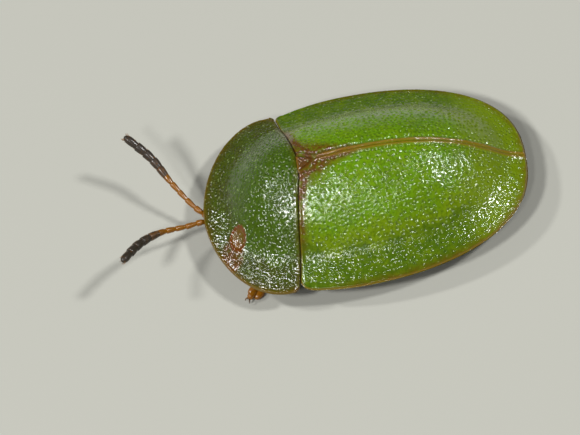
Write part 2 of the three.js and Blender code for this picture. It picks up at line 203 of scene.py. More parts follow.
# %% Heights
DOME_HEIGHT, DOME_HALF_WIDTH = 1.6, 2.1  # the wing cases' dome over the rim
DOME_REAR = 0.93  # share of the way to the tail where the dome has come down
FRONT_DROP, FRONT_DROP_LENGTH = 0.16, 1.2  # the dome dips towards the shield
SWELLING = (0.07, 1.35, 2.62, 0.32)  # height, x, s and radius
SHIELD_DOME_HEIGHT, SHIELD_DOME_HALF_WIDTH = 1.45, 2.05
SHIELD_CREST_S, SHIELD_DOME_LENGTH = 2.45, 2.0
FOLD = 0.12  # softness of the fold between the margin and the dome


def smooth_max(a, b):
    return (a + b + np.hypot(a - b, FOLD)) / 2 - FOLD / 4


def case_top(x, s):
    side = np.abs(x)
    back = np.maximum((s - WIDEST_AT) / (BODY_LENGTH - WIDEST_AT), 0)
    front = np.clip((WIDEST_AT - s) / FRONT_DROP_LENGTH, 0, 1)
    dome = DOME_HEIGHT * (1 - (side / DOME_HALF_WIDTH) ** 2 - (back / DOME_REAR) ** 2.8)
    dome = dome - FRONT_DROP * front ** 1.5
    margin = MARGIN_SLOPE * distance_to(CASE_SIDE, side, s)
    height, centre_x, centre_s, radius = SWELLING
    swelling = height * np.exp(-(np.hypot(side - centre_x, s - centre_s) / radius) ** 2)
    return RIM_HEIGHT + smooth_max(dome, margin) + swelling


def shield_top(x, s):
    side = np.abs(x)
    ahead = np.maximum(SHIELD_CREST_S - s, 0) / SHIELD_DOME_LENGTH
    dome = SHIELD_DOME_HEIGHT * (1 - (side / SHIELD_DOME_HALF_WIDTH) ** 2 - ahead ** 2.2)
    margin = MARGIN_SLOPE * distance_to(SHIELD_FRONT, side, s)
    return RIM_HEIGHT + smooth_max(dome, margin)


def base_line(x):
    """s of the wing cases' front edge."""
    slope = (BASE_S - SHOULDER_S) / (SHOULDER_X - BASE_BEND)
    return BASE_S - slope * np.clip(np.abs(x) - BASE_BEND, 0, None)


print(f"the dome's top is {float(case_top(0.0, WIDEST_AT)):.2f} mm above the floor")

# %% [markdown]
# ## From loops to a skin
# Every piece here is a skin over loops of points: one closed section, repeated along the
# piece and joined to the next by four-cornered faces, as planks join the frames of a boat.
# Blender's Skin modifier or its sculpt brushes make such forms too. Loops were chosen because
# each point's place is then known, and because the faces follow the form, so that light
# runs smoothly over it. facing_out checks that the faces look outwards, by the sign of the
# volume they enclose.

# %% From loops to a skin
def skin(loops):
    count, size = loops.shape[:2]
    index = np.arange(count * size).reshape(count, size)
    beside = np.roll(index, -1, axis=1)
    quads = np.stack([index[:-1], beside[:-1], beside[1:], index[1:]], axis=-1)
    faces = quads.reshape(-1, 4).tolist()
    return faces + [index[0][::-1].tolist(), index[-1].tolist()]


def facing_out(points, faces):
    a, b, c = (np.array([points[face[k]] for face in faces]) for k in (0, 1, 2))
    volume = np.einsum("ij,ij->", a - points.mean(axis=0), np.cross(b - a, c - a))
    return faces if volume > 0 else [face[::-1] for face in faces]


def skinned(loops, values):
    """Points, faces and masks of one closed skin."""
    points = loops.reshape(-1, 3)
    return points, facing_out(points, skin(loops)), values


print("faces on a skin of 3 loops of 8 points:", len(skin(np.zeros((3, 8, 3)))))

# %% [markdown]
# ## Round limbs and balls
# Joints, hairs, claws and pads are all round. Blender's own cylinders and spheres could be
# placed and stretched, but a leg bends and swells. A limb is a circle carried along a line,
# with its own radius at each point. A ball is a limb whose radius follows a half circle.
# Masks, such as how dark a joint is, are passed on by name.

# %% Round limbs and balls
def limb(centres, radii, sides=20, flat=1.0, **values):
    """A round limb through the centres; flat below 1 makes it lower than it is wide."""
    centres = np.array(centres, float)
    along = np.gradient(centres, axis=0)
    along /= np.linalg.norm(along, axis=1)[:, None]
    across = np.cross(along, (0.0, 0.0, 1.0))
    across /= np.maximum(np.linalg.norm(across, axis=1)[:, None], 1e-9)
    over = np.cross(across, along)
    turn = np.arange(sides) * 2 * np.pi / sides
    radii = np.broadcast_to(radii, len(centres))[:, None, None]
    round_part = across[:, None] * np.cos(turn)[None, :, None]
    round_part = round_part + over[:, None] * np.sin(turn)[None, :, None] * flat
    return skinned(centres[:, None] + radii * round_part, values)


def ball(size, place, turn=0.0, sides=24, **values):
    """An egg of three half sizes, tipped forward by turn."""
    angles = np.linspace(0.04, np.pi - 0.04, sides // 2 + 1)
    around = np.arange(sides) * 2 * np.pi / sides
    loops = np.stack([np.sin(angles)[:, None] * np.cos(around)[None],
                      np.sin(angles)[:, None] * np.sin(around)[None],
                      np.broadcast_to(np.cos(angles)[:, None], (len(angles), sides))], axis=-1)
    spin = np.array(Matrix.Rotation(turn, 3, "X"))
    return skinned((loops * size) @ spin.T + np.array(place), values)


print("points on a ball of 24 sides:", len(ball((1, 1, 1), (0, 0, 0))[0]))

# %% [markdown]
# ## From a skin to a piece
# A finish has to know where it is: near the rim, deep in a pit, on the rusty stain. Such
# masks could be painted as pictures. Here they are stored on the mesh as attributes, one
# number for each point, which needs no picture and is as fine as the mesh itself. A piece
# also says which solid it stands for and which body it moves with. Where a piece has many
# parts, such as a head or a leg, joined makes one skin list of them all.

# %% From a skin to a piece
def joined(parts):
    """Several (points, faces, values) as one."""
    points, faces, values, start = [], [], {}, 0
    for part_points, part_faces, part_values in parts:
        points.append(part_points)
        faces += [[corner + start for corner in face] for face in part_faces]
        for label in part_values:
            values.setdefault(label, [])
        start += len(part_points)
    for label in values:
        for part_points, _, part_values in parts:
            tone = part_values.get(label, 0.0)
            values[label].append(np.broadcast_to(tone, len(part_points)))
        values[label] = np.concatenate(values[label])
    return np.concatenate(points), faces, values


def piece(name, part, finish, nodes, crease=70):
    points, faces, values = part
    placed = (points + (0, FRONT_Y, 0)) * MM
    mesh = bpy.data.meshes.new(name)
    mesh.from_pydata(placed.tolist(), [], faces)
    mesh.shade_smooth()
    mesh.set_sharp_from_angle(angle=math.radians(crease))
    for label, numbers in values.items():
        stored = mesh.attributes.new(label, "FLOAT", "POINT")
        numbers = np.broadcast_to(numbers, len(points)).astype(np.float32)
        stored.data.foreach_set("value", np.ascontiguousarray(numbers))
    mesh.materials.append(finish)
    made = bpy.data.objects.new(name, mesh)
    bpy.context.collection.objects.link(made)
    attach(made, "root")
    if nodes:
        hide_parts(*nodes)
    print(f"{name}: {len(points)} points")


print("solids still waiting for a piece:", len(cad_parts))

# %% [markdown]
# ## Wrinkles and slopes
# A real shell is never quite smooth: it swells and wrinkles in every direction. A noise
# texture in the finish could fake that, but wrinkles in the mesh also catch light at the rim
# and in the exported model. waves adds up a few sine waves that cross at random angles.
# normals_of gives the direction in which each point of a surface faces, and steepness uses it
# to find the flanks of the dome.

# %% Wrinkles and slopes
def waves(x, s, scale, seed, count=5):
    """Smooth random swelling made of a few crossed waves, from -1 to 1."""
    own = np.random.default_rng(seed)
    total = 0
    for _ in range(count):
        angle, phase = own.uniform(0, np.pi), own.uniform(0, 2 * np.pi)
        length = scale * own.uniform(0.7, 1.4)
        total = total + np.sin((x * np.cos(angle) + s * np.sin(angle)) * 2 * np.pi / length + phase)
    return total / count


def wrinkles(x, s, sizes, seed):
    """Fine waves in two or more sizes, each a (height, length)."""
    return sum(height * waves(x, s, length, seed + number, 9)
               for number, (height, length) in enumerate(sizes))


def normals_of(top):
    down = np.gradient(top, axis=0)
    side = np.gradient(top, axis=1)
    normal = np.cross(down, side)
    normal /= np.maximum(np.linalg.norm(normal, axis=-1), 1e-12)[..., None]
    return normal * np.where(normal[..., 2:] < 0, -1, 1)


def steepness(top):
    """0 on level ground and 1 on the steep flank of the dome."""
    return smooth_step(1 - normals_of(top)[..., 2], 0.12, 0.3)


print("height of one wave at the origin:", round(float(waves(0.0, 0.0, 1.0, 1)), 2))

# %% [markdown]
# ## Pits
# The shell is stippled with pits, each about as wide as a hair is thick, with a raised lip.
# The lips give the animal its glitter: each one bends a spot of lamplight towards the eye. A
# bump map would lose them in close views and at the rim, so they are real dents.
# kept_apart thins a cloud of random places until none is closer than a pit's width to the
# next, and press_pits tells for each point of the mesh how deep in a pit or how high on a lip
# it lies. A search tree (kdtree) finds the points near each pit quickly.

# %% Pits
LIP_REACH, LIP_AT, LIP_WIDTH = 1.7, 1.15, 0.25  # all in pit radii


def kept_apart(places, spacing):
    cells, kept = {}, []
    for place, gap in zip(places, np.broadcast_to(spacing, len(places))):
        cell = tuple(np.floor(place / 0.2).astype(int))
        near = [other for i in (-1, 0, 1) for j in (-1, 0, 1) for k in (-1, 0, 1)
                for other in cells.get((cell[0] + i, cell[1] + j, cell[2] + k), ())]
        if all(np.linalg.norm(place - other) > gap for other in near):
            cells.setdefault(cell, []).append(place)
            kept.append(place)
    return np.array(kept)


def press_pits(top, places, radii):
    flat = top.reshape(-1, 3)
    tree = kdtree.KDTree(len(flat))
    for k, place in enumerate(flat.tolist()):
        tree.insert(place, k)
    tree.balance()
    depth, lip = np.zeros(len(flat)), np.zeros(len(flat))
    for place, radius in zip(places, radii):
        for _, k, away in tree.find_range(place.tolist(), radius * LIP_REACH):
            share = away / radius
            if share < 1:
                depth[k] = max(depth[k], (1 - share ** 2) ** 1.3)
            lip[k] = max(lip[k], math.exp(-((share - LIP_AT) / LIP_WIDTH) ** 2))
    return depth.reshape(top.shape[:2]), lip.reshape(top.shape[:2])


print("places kept of three in a row:", len(kept_apart(np.eye(3) * 0.01, 0.012)))

# %% [markdown]
# ## Building a finish from nodes
# A finish in Blender is a graph of nodes: some make patterns, some mix colours, and the last
# one, the shader, turns them into light. Nodes can be placed by hand in the editor. In a
# script a few short helpers keep the graph readable: mask reads an attribute of the mesh,
# noise makes a cloudy pattern that is fixed to the object, mapped stretches a range of values
# and blended mixes two colours.

# %% Colours and nodes
def rgb(code):
    """A colour as Blender wants it, from the six digits a paint program shows."""
    parts = [int(code[k:k + 2], 16) / 255 for k in (0, 2, 4)]
    linear = [v / 12.92 if v <= 0.04045 else ((v + 0.055) / 1.055) ** 2.4 for v in parts]
    return (*linear, 1.0)


def new_node(tree, kind, label="", **settings):
    made = tree.nodes.new(kind)
    made.label = label
    for key, value in settings.items():
        setattr(made, key, value)
    return made


def put(tree, value, socket):
    """Links a node's output to a socket, or sets the socket to a plain value."""
    if isinstance(value, bpy.types.NodeSocket):
        tree.links.new(value, socket)
    else:
        socket.default_value = value


def mask(tree, name):
    return new_node(tree, "ShaderNodeAttribute", name, attribute_name=name).outputs["Fac"]


def on_object(tree, kind):
    """A pattern node that reads its place from the object itself."""
    made = new_node(tree, kind)
    place = new_node(tree, "ShaderNodeTexCoord")
    put(tree, place.outputs["Object"], made.inputs["Vector"])
    return made


print("the shell's disc green in linear light:", [round(v, 3) for v in rgb("5c8403")[:3]])

# %% [markdown]
# ## Patterns and mixes
# These four nodes do all the mixing. Their results may change from place to place, and so
# they only feed the colour, the roughness and the relief of a finish. A value that is the
# same all over, such as the index of refraction, is typed straight into the shader.

# %% Patterns and mixes
def noise(tree, scale, detail=3.0, rough=0.5):
    made = on_object(tree, "ShaderNodeTexNoise")
    for label, value in (("Scale", scale), ("Detail", detail), ("Roughness", rough)):
        made.inputs[label].default_value = value
    return made.outputs["Fac"]


def mapped(tree, source, low, high, to_low=0.0, to_high=1.0):
    made = new_node(tree, "ShaderNodeMapRange", interpolation_type="SMOOTHSTEP")
    given = {"Value": source, "From Min": low, "From Max": high, "To Min": to_low,
             "To Max": to_high}
    for label, value in given.items():
        put(tree, value, made.inputs[label])
    return made.outputs["Result"]


def math_of(tree, operation, first, second):
    made = new_node(tree, "ShaderNodeMath", operation=operation)
    for socket, value in zip(made.inputs, (first, second)):
        put(tree, value, socket)
    return made.outputs[0]


def blended(tree, share, first, second):
    made = new_node(tree, "ShaderNodeMix", data_type="RGBA")
    for socket, value in zip((made.inputs[0], made.inputs[6], made.inputs[7]),
                             (share, first, second)):
        put(tree, value, socket)
    return made.outputs[2]


print("node groups so far:", len(bpy.data.node_groups))

# %% [markdown]
# ## Pigment of the shell
# The green of a tortoise beetle lies under a clear skin, and it is uneven: darker on the flat
# margin, yellowish where the margin folds into the dome, mottled everywhere, and crossed by
# rusty stains and golden ridges. One flat colour would look like plastic. The pigment is a
# node group, a graph with named inputs, because the wing cases, the shield and the scutellum
# all share it and differ only in their colours. It starts with the ground colour.

# %% Ground colour of the shell
MOTTLING = (  # noise scale, detail, roughness, start, end, strongest share, colour
    (4200, 4.0, 0.6, 0.35, 0.7, 0.45, "Band"),
    (1300, 3.0, 0.5, 0.4, 0.75, 0.35, "Margin"),
    (15000, 2.0, 0.6, 0.42, 0.68, 0.5, "Pit"),
)


def ground_color(tree, given):
    """Margin, fold and disc, with borders that wander a little, and mottling over all."""
    wander = mapped(tree, noise(tree, 2500), 0.3, 0.7, -0.12, 0.12)
    reach = math_of(tree, "ADD", mask(tree, "edge"), wander)
    color = blended(tree, mapped(tree, reach, 0.72, 1.05), given["Margin"], given["Disc"])
    rise = mapped(tree, reach, 0.62, 0.85)
    fall = mapped(tree, reach, 0.9, 1.3, 1.0, 0.0)
    band = math_of(tree, "MULTIPLY", math_of(tree, "MULTIPLY", rise, fall), 0.75)
    color = blended(tree, band, color, given["Band"])
    for scale, detail, rough, start, end, most, tint in MOTTLING:
        share = mapped(tree, noise(tree, scale, detail, rough), start, end, 0.0, most)
        color = blended(tree, share, color, given[tint])
    return blended(tree, mask(tree, "pale"), color, given["Band"])


print("kinds of mottling on the shell:", len(MOTTLING))

# %% [markdown]
# ## Marks on the shell
# Over the ground colour lie the marks, from the widest to the finest: tiny pale specks that are
# painted glints, the rusty stain, painted shade on the floor of each pit, golden ridges, the
# orange ring of the scar, and a line of painted shade where the wing cases meet the shield and
# under the rims. Each mark is one blend, steered by a mask of the mesh. Mixing them in this
# order lets a thin ridge stay golden where the stain runs under it.

# %% Marks on the shell
# the brown of the painted shade line between the shield and the wing cases
PAINTED_SHADE_BROWN = rgb("1a1006")


def with_marks(tree, given, color):
    # painted glints: tiny pale dots that stand for the lamps' glints at the pits
    dots = on_object(tree, "ShaderNodeTexVoronoi")
    dots.inputs["Scale"].default_value = 8500
    painted_glint = mapped(tree, dots.outputs["Distance"], 0.12, 0.24, 0.55, 0.0)
    color = blended(tree, painted_glint, color, given["Speck"])
    mottle = mapped(tree, noise(tree, 7000, 3.0, 0.6), 0.3, 0.65, 0.5, 1.3)
    rust = math_of(tree, "MULTIPLY", mask(tree, "rust"), mottle)
    color = blended(tree, math_of(tree, "MINIMUM", rust, 1.0), color, given["Rust"])
    # painted shade: the floor of each pit is darkened towards the Pit colour
    pit_shade = mapped(tree, mask(tree, "pit"), 0.2, 0.95, 0.0, 0.4)
    color = blended(tree, pit_shade, color, given["Pit"])
    for label in ("Gold", "Orange"):
        color = blended(tree, mask(tree, label.lower()), color, given[label])
    # painted shade where the dark mask says: in the gap between the plates and under the rims
    return blended(tree, mask(tree, "dark"), color, PAINTED_SHADE_BROWN)


# the brown of the painted shade line
print("brown of the grooves:", [round(v, 4) for v in PAINTED_SHADE_BROWN[:3]])

# %% [markdown]
# ## The shell's node group
# The group puts out three things that change over the surface: the colour, the roughness and
# a fine height for the shader's bump. The shell is almost as smooth as wax, so its roughness
# stays near 0.1, a little higher on the steep flanks, where the real one has lost its
# polish.

# %% The shell's node group
SHELL_COLORS = ("Disc", "Margin", "Band", "Rust", "Pit", "Gold", "Orange", "Speck")
SMOOTHEST, ROUGHEST, FLANK_ROUGHER = 0.06, 0.14, 0.08


def group_of(name, colors, outputs):
    """An empty node group with colour inputs and the outputs asked for."""
    group = bpy.data.node_groups.new(name, "ShaderNodeTree")
    for label in colors:
        group.interface.new_socket(label, in_out="INPUT", socket_type="NodeSocketColor")
    for label in outputs:
        kind = "NodeSocketColor" if label == "Color" else "NodeSocketFloat"
        group.interface.new_socket(label, in_out="OUTPUT", socket_type=kind)
    given = new_node(group, "NodeGroupInput").outputs
    return group, given, new_node(group, "NodeGroupOutput").inputs


def shell_group():
    outputs = ("Color", "Roughness", "Height")
    group, given, result = group_of("Shell pigment", SHELL_COLORS, outputs)
    put(group, with_marks(group, given, ground_color(group, given)), result["Color"])
    gloss = mapped(group, noise(group, 9000, 3.0), 0.3, 0.7, SMOOTHEST, ROUGHEST)
    worn = math_of(group, "MULTIPLY", mask(group, "flank"), FLANK_ROUGHER)
    put(group, math_of(group, "ADD", gloss, worn), result["Roughness"])
    put(group, mapped(group, noise(group, 19000, 2.0, 0.5), 0.32, 0.68), result["Height"])
    return group


SHELL = shell_group()
print("nodes in the shell's group:", len(SHELL.nodes))

# %% [markdown]
# ## Shell finishes
# Three finishes place the same group with their own greens and browns: the wing cases, the
# darker shield and the rusty scutellum. The shader is Blender's Principled BSDF, which
# behaves like a clear skin over pigment. It has a coat layer too, but a coat here would
# mirror the room a second time and turn the green grey. Its index of refraction is that of
# chitin.

# %% Shell finishes
# the last shared colour is that of the pale dots of painted glint
SHARED_COLORS = {"Rust": "563406", "Gold": "7a5c12", "Orange": "6a2c03", "Speck": "8a9c60"}
SHELL_GRAIN = 0.0000025  # metres
CHITIN_IOR = 1.56


def finish_with(name, group, colors):
    """A finish whose colour and roughness come from the group."""
    finish = bpy.data.materials.new(name)
    finish.use_nodes = True
    tree = finish.node_tree
    shader = tree.nodes["Principled BSDF"]
    pigment = new_node(tree, "ShaderNodeGroup", node_tree=group)
    for label, code in colors.items():
        pigment.inputs[label].default_value = rgb(code)
    for output, target in (("Color", "Base Color"), ("Roughness", "Roughness")):
        put(tree, pigment.outputs[output], shader.inputs[target])
    return finish, tree, shader, pigment


def add_bump(tree, shader, height, distance):
    bump = new_node(tree, "ShaderNodeBump")
    bump.inputs["Distance"].default_value = distance
    put(tree, height, bump.inputs["Height"])
    put(tree, bump.outputs["Normal"], shader.inputs["Normal"])


def shell_finish(name, **colors):
    colors = {label.title(): code for label, code in colors.items()} | SHARED_COLORS
    finish, tree, shader, pigment = finish_with(name, SHELL, colors)
    add_bump(tree, shader, pigment.outputs["Height"], SHELL_GRAIN)
    shader.inputs["IOR"].default_value = CHITIN_IOR
    return finish


# pit is the colour of the painted shade in the pits, and also of the finest mottling
GREEN = shell_finish("green_shell", disc="5c8403", margin="405a05", band="687e03", pit="304804")
SHIELD = shell_finish("shield_shell", disc="3a5403", margin="3a4009", band="3e5806", pit="223003")
RUST = shell_finish("rust_shell", disc="563408", margin="442806", band="644008", pit="2a1a04")
print("shell finishes:", GREEN.name, SHIELD.name, RUST.name)

# %% [markdown]
# ## Limb finishes
# Legs and feelers are amber at the root and black at the tip, and the belly is black. Two
# finishes side by side would leave a hard line between the colours, so one group blends a
# pale and a dark colour by the mask "dark", and the dark end is also rougher, because the
# real one is downy. A thin clear coat gives the moist shine of amber, and a thicker one the
# shine of an eye.

# %% Limb finishes
LIMB_IOR, COAT_ROUGHNESS, LIMB_GRAIN = 1.4, 0.15, 0.000004


def limb_group():
    group, given, result = group_of("Limb pigment", ("Pale", "Dark"), ("Color", "Roughness"))
    grain = mapped(group, noise(group, 9000, 4.0), 0.3, 0.75, -0.18, 0.18)
    share = mapped(group, math_of(group, "ADD", mask(group, "dark"), grain), 0.0, 1.0)
    put(group, blended(group, share, given["Pale"], given["Dark"]), result["Color"])
    gloss = mapped(group, noise(group, 12000, 2.0), 0.3, 0.7, 0.2, 0.38)
    down = mapped(group, mask(group, "dark"), 0.3, 1.0, 0.0, 0.25)
    put(group, math_of(group, "ADD", gloss, down), result["Roughness"])
    return group


LIMB = limb_group()


def limb_finish(name, pale, dark, coat):
    finish, tree, shader, _ = finish_with(name, LIMB, {"Pale": pale, "Dark": dark})
    add_bump(tree, shader, noise(tree, 16000, 3.0), LIMB_GRAIN)
    shader.inputs["Coat Weight"].default_value = coat
    shader.inputs["Coat Roughness"].default_value = COAT_ROUGHNESS
    shader.inputs["IOR"].default_value = LIMB_IOR
    return finish


AMBER = limb_finish("amber_limb", "805008", "2c241a", coat=0.3)
BLACK = limb_finish("black_body", "3a2c1e", "120e0a", coat=0.2)
EYE = limb_finish("dark_eye", "1a0f0a", "0a0605", coat=0.7)
print("limb finishes:", AMBER.name, BLACK.name, EYE.name)

# %% [markdown]
# ## Plan of a wing case
# Each wing case runs from the seam in the middle to the rim. Its mesh is a fan of rows: each
# row starts at the seam and ends at the rim, and both lines are cut into the same number of
# steps. A square grid trimmed to the outline would have ragged steps along the rim. The rows
# lie close together, about 0.015 mm apart, because each pit needs several points to be
# round.

# %% Plan of a wing case
CASE_ROWS, CASE_COLUMNS, UNDER_COLUMNS = 540, 260, 24
SEAM_GAP = 0.005
LAST_ROW_S = 7.12  # s where the last row leaves the seam, on its way to the tail


def seam_x(s):
    """The inner edge of a wing case: out round the scutellum, then along the seam."""
    share = 1 - (s - BASE_S) / SCUTELLUM_LENGTH
    return np.maximum(SCUTELLUM_HALF_WIDTH * share + SEAM_GAP * 2, SEAM_GAP / 2)


def case_plan(columns):
    edge = spaced(CASE_RIM, CASE_ROWS + 1)
    root_s = np.linspace(BASE_S, LAST_ROW_S, CASE_ROWS + 1)
    root_x = seam_x(root_s)
    root_x[-1] = SEAM_GAP / 2
    share = np.linspace(0, 1, columns + 1)[None]
    x = root_x[:, None] * (1 - share) + edge[:, :1] * share
    s = root_s[:, None] * (1 - share) + edge[:, 1:] * share
    return np.maximum(x, SEAM_GAP / 2), s


print(f"rows at the rim are {reach_along(CASE_RIM)[-1] / CASE_ROWS:.3f} mm apart")

# %% [markdown]
# ## Pits of a wing case
# On the real wing cases the pits stand in wavering rows that run with the seam and close up
# towards the tail. Purely random places would look like sand, and exact rows like a machine's
# work. So each pit starts on a row, is nudged at random and is dropped if it lands too close
# to another. One neat row follows the seam. The random numbers have a fixed seed, so that
# the same beetle comes out each time.

# %% Pits of a wing case
ROW_SPACING, ROW_STEP = 0.118, 0.1
ROW_WANDER, STEP_WANDER = 0.024, 0.032
SEAM_ROW_OFFSET, SEAM_ROW_STEP = 0.125, 0.085
MARGIN_WIDTH = 0.75  # the pits are smaller and closer on the margin
MARGIN_PIT, DISC_PIT = 0.034, 0.042  # radii
MARGIN_APART, DISC_APART, SEAM_APART = 0.078, 0.085, 0.05


def scattered_rows(own):
    places = []
    for offset in np.arange(0.2, 2.9, ROW_SPACING):
        for s in np.arange(2.0, 7.5, ROW_STEP):
            places.append((offset + own.normal(0, ROW_WANDER), s + own.normal(0, STEP_WANDER)))
    x, s = np.array(places).T
    half = np.interp(s, CASE_SIDE[:, 1], CASE_SIDE[:, 0])
    return x * half / HALF_WIDTH, s, half


def case_pits(seed):
    own = np.random.default_rng(seed)
    x, s, half = scattered_rows(own)
    edge = distance_to(CASE_RIM, x, s)
    inside = (x > 0.03) & (x < half - 0.1) & (s > base_line(x) + 0.09)
    inside &= (edge > 0.12) & (x > seam_x(s) + 0.07)
    order = own.permutation(np.count_nonzero(inside))
    x, s, edge = (part[inside][order] for part in (x, s, edge))
    places = np.stack([x, s, case_top(x, s)], axis=1)
    beside_seam = np.arange(2.55, 7.3, SEAM_ROW_STEP)
    row = np.stack([seam_x(beside_seam) + SEAM_ROW_OFFSET, beside_seam], axis=1)
    row += own.normal(0, 0.006, row.shape)
    row = np.column_stack([row, case_top(row[:, 0], row[:, 1])])
    apart = np.where(edge < MARGIN_WIDTH, MARGIN_APART, DISC_APART)
    return kept_apart(np.vstack([row, places]), np.append(np.full(len(row), SEAM_APART), apart))


def pit_radii(places, seed):
    own = np.random.default_rng(seed)
    edge = distance_to(CASE_RIM, places[:, 0], places[:, 1])
    return np.where(edge < MARGIN_WIDTH, MARGIN_PIT, DISC_PIT) * own.uniform(0.75, 1.2, len(places))


print(f"a pit on the dome is {2 * DISC_PIT} mm wide, one on the margin {2 * MARGIN_PIT} mm")

# %% [markdown]
# ## Relief of a wing case
# A bead runs along the rim and along the front edge, and a ridge with a furrow beside it
# along the seam. At its very edge each plate drops a little, which shades the line between
# neighbours, and painted shade in the colour darkens it further where the wing cases meet the
# shield. On the margin faint ribs run outwards. All of it is added to the height before the
# pits are pressed in, in the order in which a modeller would work, from large to small.

# %% Relief of a wing case
RIM_BEAD, RIM_DROP = (0.014, 0.03, 0.02), (-0.03, 0.0, 0.012)
SEAM_RIDGE, SEAM_FURROW = (0.022, 0.045, 0.032), (-0.012, 0.125, 0.03)
SEAM_DROP = (-0.018, 0.0, 0.01)
BASE_BEAD, BASE_DROP = (0.012, 0.04, 0.03), (-0.035, 0.0, 0.012)
CASE_SWELL = (0.012, 0.55)  # height and length
CASE_WRINKLES = ((0.006, 0.11), (0.0045, 0.055))
RIB_HEIGHT, RIB_LENGTH, RIB_SPREAD, RIB_WANDER = 0.006, 0.2, 6.5, 0.12
CASE_PIT_DEPTH, CASE_LIP_HEIGHT = 0.016, 0.005


def margin_ribs(x, s, edge, seed):
    row = np.arange(CASE_ROWS + 1)[:, None] / CASE_ROWS
    bend = row * RIB_SPREAD + RIB_WANDER * waves(x, s, 0.6, seed + 3)
    ribs = waves(bend, 0 * x, RIB_LENGTH, seed + 1)
    return RIB_HEIGHT * ribs * smooth_step(edge, 0.08, 0.25) * (1 - smooth_step(edge, 0.5, 0.8))


def case_relief(x, s, edge, seam, base, seed):
    height, length = CASE_SWELL
    z = case_top(x, s) + ridges(edge, RIM_BEAD, RIM_DROP)
    z += ridges(seam, SEAM_RIDGE, SEAM_FURROW, SEAM_DROP)
    z += ridges(base, BASE_BEAD, BASE_DROP)
    z += height * waves(x, s, length, seed) * smooth_step(edge, 0.6, 1.0)
    z += wrinkles(x, s, CASE_WRINKLES, seed + 6)
    return z + margin_ribs(x, s, edge, seed)


print(f"the ridge along the seam is {SEAM_RIDGE[0]} mm high")

# %% [markdown]
# ## Stains of a wing case
# A rusty brown stain spreads from the scutellum back along the seam and out along the front
# edge, and the rims are golden. These are masks from 0 to 1, made with the same ramps and
# ridges as the relief, so that the gold lies exactly on the ridge it belongs to. Towards the
# tail the green pales.

# %% Stains of a wing case
def case_marks(x, s, edge, seam, base):
    stain_width = 0.09 + 0.7 * np.clip(1 - (s - 2.43) / 1.7, 0, 1) ** 1.5
    rust = 0.95 * (1 - smooth_step(x, 0.3 * stain_width, 1.25 * stain_width))
    rust *= 1 - smooth_step(s, 3.3, 4.6)
    rust += ridges(base, (0.85, 0.05, 0.12)) * (1 - smooth_step(x, 1.2, 2.0))
    rust += ridges(edge, (0.5, 0.0, 0.13)) * smooth_step(s, 2.3, 3.5)
    gold = ridges(seam, (0.85, 0.035, 0.04)) * smooth_step(s, 2.75, 3.2)
    gold += ridges(edge, (0.8, 0.0, 0.018))
    gold += ridges(base, (0.6, 0.0, 0.03)) * smooth_step(x, 0.8, 1.6)
    # each mask comes with the value it has on the plate's rim and underside
    return {
        "edge": (edge, 0.2),
        "pale": (0.8 * smooth_step(s, 5.6, 6.8), 0.0),
        "rust": (np.clip(rust, 0, 1), 0.45),
        "gold": (np.clip(gold, 0, 1), 0.0),
        # dark: painted shade along the front edge, next to the shield, and on the rim and underside
        "dark": (ridges(base, (0.8, -0.01, 0.015)), 0.45),
    }


def round_the_loops(marks, spare):
    """Stretches each mask over whole loops, which have spare points beyond the upper side."""
    beyond = ((0, 0), (0, spare))
    return {label: np.pad(upper, beyond, constant_values=rest).reshape(-1)
            for label, (upper, rest) in marks.items()}


print("masks of a wing case:", ", ".join(case_marks(*np.zeros((5, 1)))))

# %% [markdown]
# ## Wing cases
# Now a wing case can be closed: a pitted upper side, a rounded rim and a hollow underside,
# joined into loops that run from the seam over the top to the rim and back beneath. A Solidify
# modifier would thicken a sheet in the same way, but it would copy every pit to the
# underside, where no one sees them, and double the mesh.

# %% Wing cases
RIM_STEPS, RIM_BULGE, HOLLOW = 6, 0.015, 0.08


def rounded_rim(above, below):
    middle, half = (above + below) / 2, (above - below) / 2
    outward = np.gradient(above[:, :2], axis=0)
    outward = np.stack([outward[:, 1], -outward[:, 0]], axis=1)
    outward /= np.linalg.norm(outward, axis=1)[:, None]
    bulge = np.pad(outward, ((0, 0), (0, 1))) * RIM_BULGE
    turns = np.linspace(0, np.pi, RIM_STEPS + 2)[1:-1]
    return np.stack([middle + half * math.cos(t) + bulge * math.sin(t) for t in turns], axis=1)


def wing_case(hand, seed):
    x, s = case_plan(CASE_COLUMNS)
    edge, seam, base = distance_to(CASE_RIM, x, s), x - seam_x(s), s - base_line(x)
    marks = case_marks(x, s, edge, seam, base)
    marks["flank"] = (steepness(np.stack([x, s, case_top(x, s)], axis=-1)), 0.5)
    top = np.stack([x, s, case_relief(x, s, edge, seam, base, seed)], axis=-1)
    places = case_pits(seed)
    pit, lip = press_pits(top, places, pit_radii(places, seed + 9))
    marks["pit"] = (pit, 0.0)
    top = top - normals_of(top) * (CASE_PIT_DEPTH * pit - CASE_LIP_HEIGHT * lip)[..., None]
    x, s = case_plan(UNDER_COLUMNS)
    hollow = HOLLOW * smooth_step(distance_to(CASE_SIDE, x, s), 0, 1)
    under = np.stack([x, s, case_top(x, s) - SHELL_EDGE - hollow], axis=-1)[:, ::-1]
    loops = np.concatenate([top, rounded_rim(top[:, -1], under[:, 0]), under], axis=1)
    loops[..., 0] *= hand
    return skinned(loops, round_the_loops(marks, RIM_STEPS + UNDER_COLUMNS + 1))


for side, hand, seed in (("left", 1, 11), ("right", -1, 23)):
    piece(f"wing_case_{side}", wing_case(hand, seed), GREEN, [f"elytron_{side}"])

# %% [markdown]
# ## Plan and pits of the neck shield
# The shield is a broad half moon over the head, more finely stippled than the wing cases. Its
# points stand in columns that run from the rear edge forward. The columns come closer
# together towards the sides, by a sine, because the outline turns there. Its pits start on a
# square grid, since the real ones form no rows here.

# %% Plan and pits of the neck shield
SHIELD_COLUMNS, SHIELD_ROWS = 540, 260
SHIELD_PIT, SHIELD_PIT_GRID, SHIELD_PIT_WANDER, SHIELD_PITS_APART = 0.034, 0.082, 0.026, 0.066
shield_rng = np.random.default_rng(41)


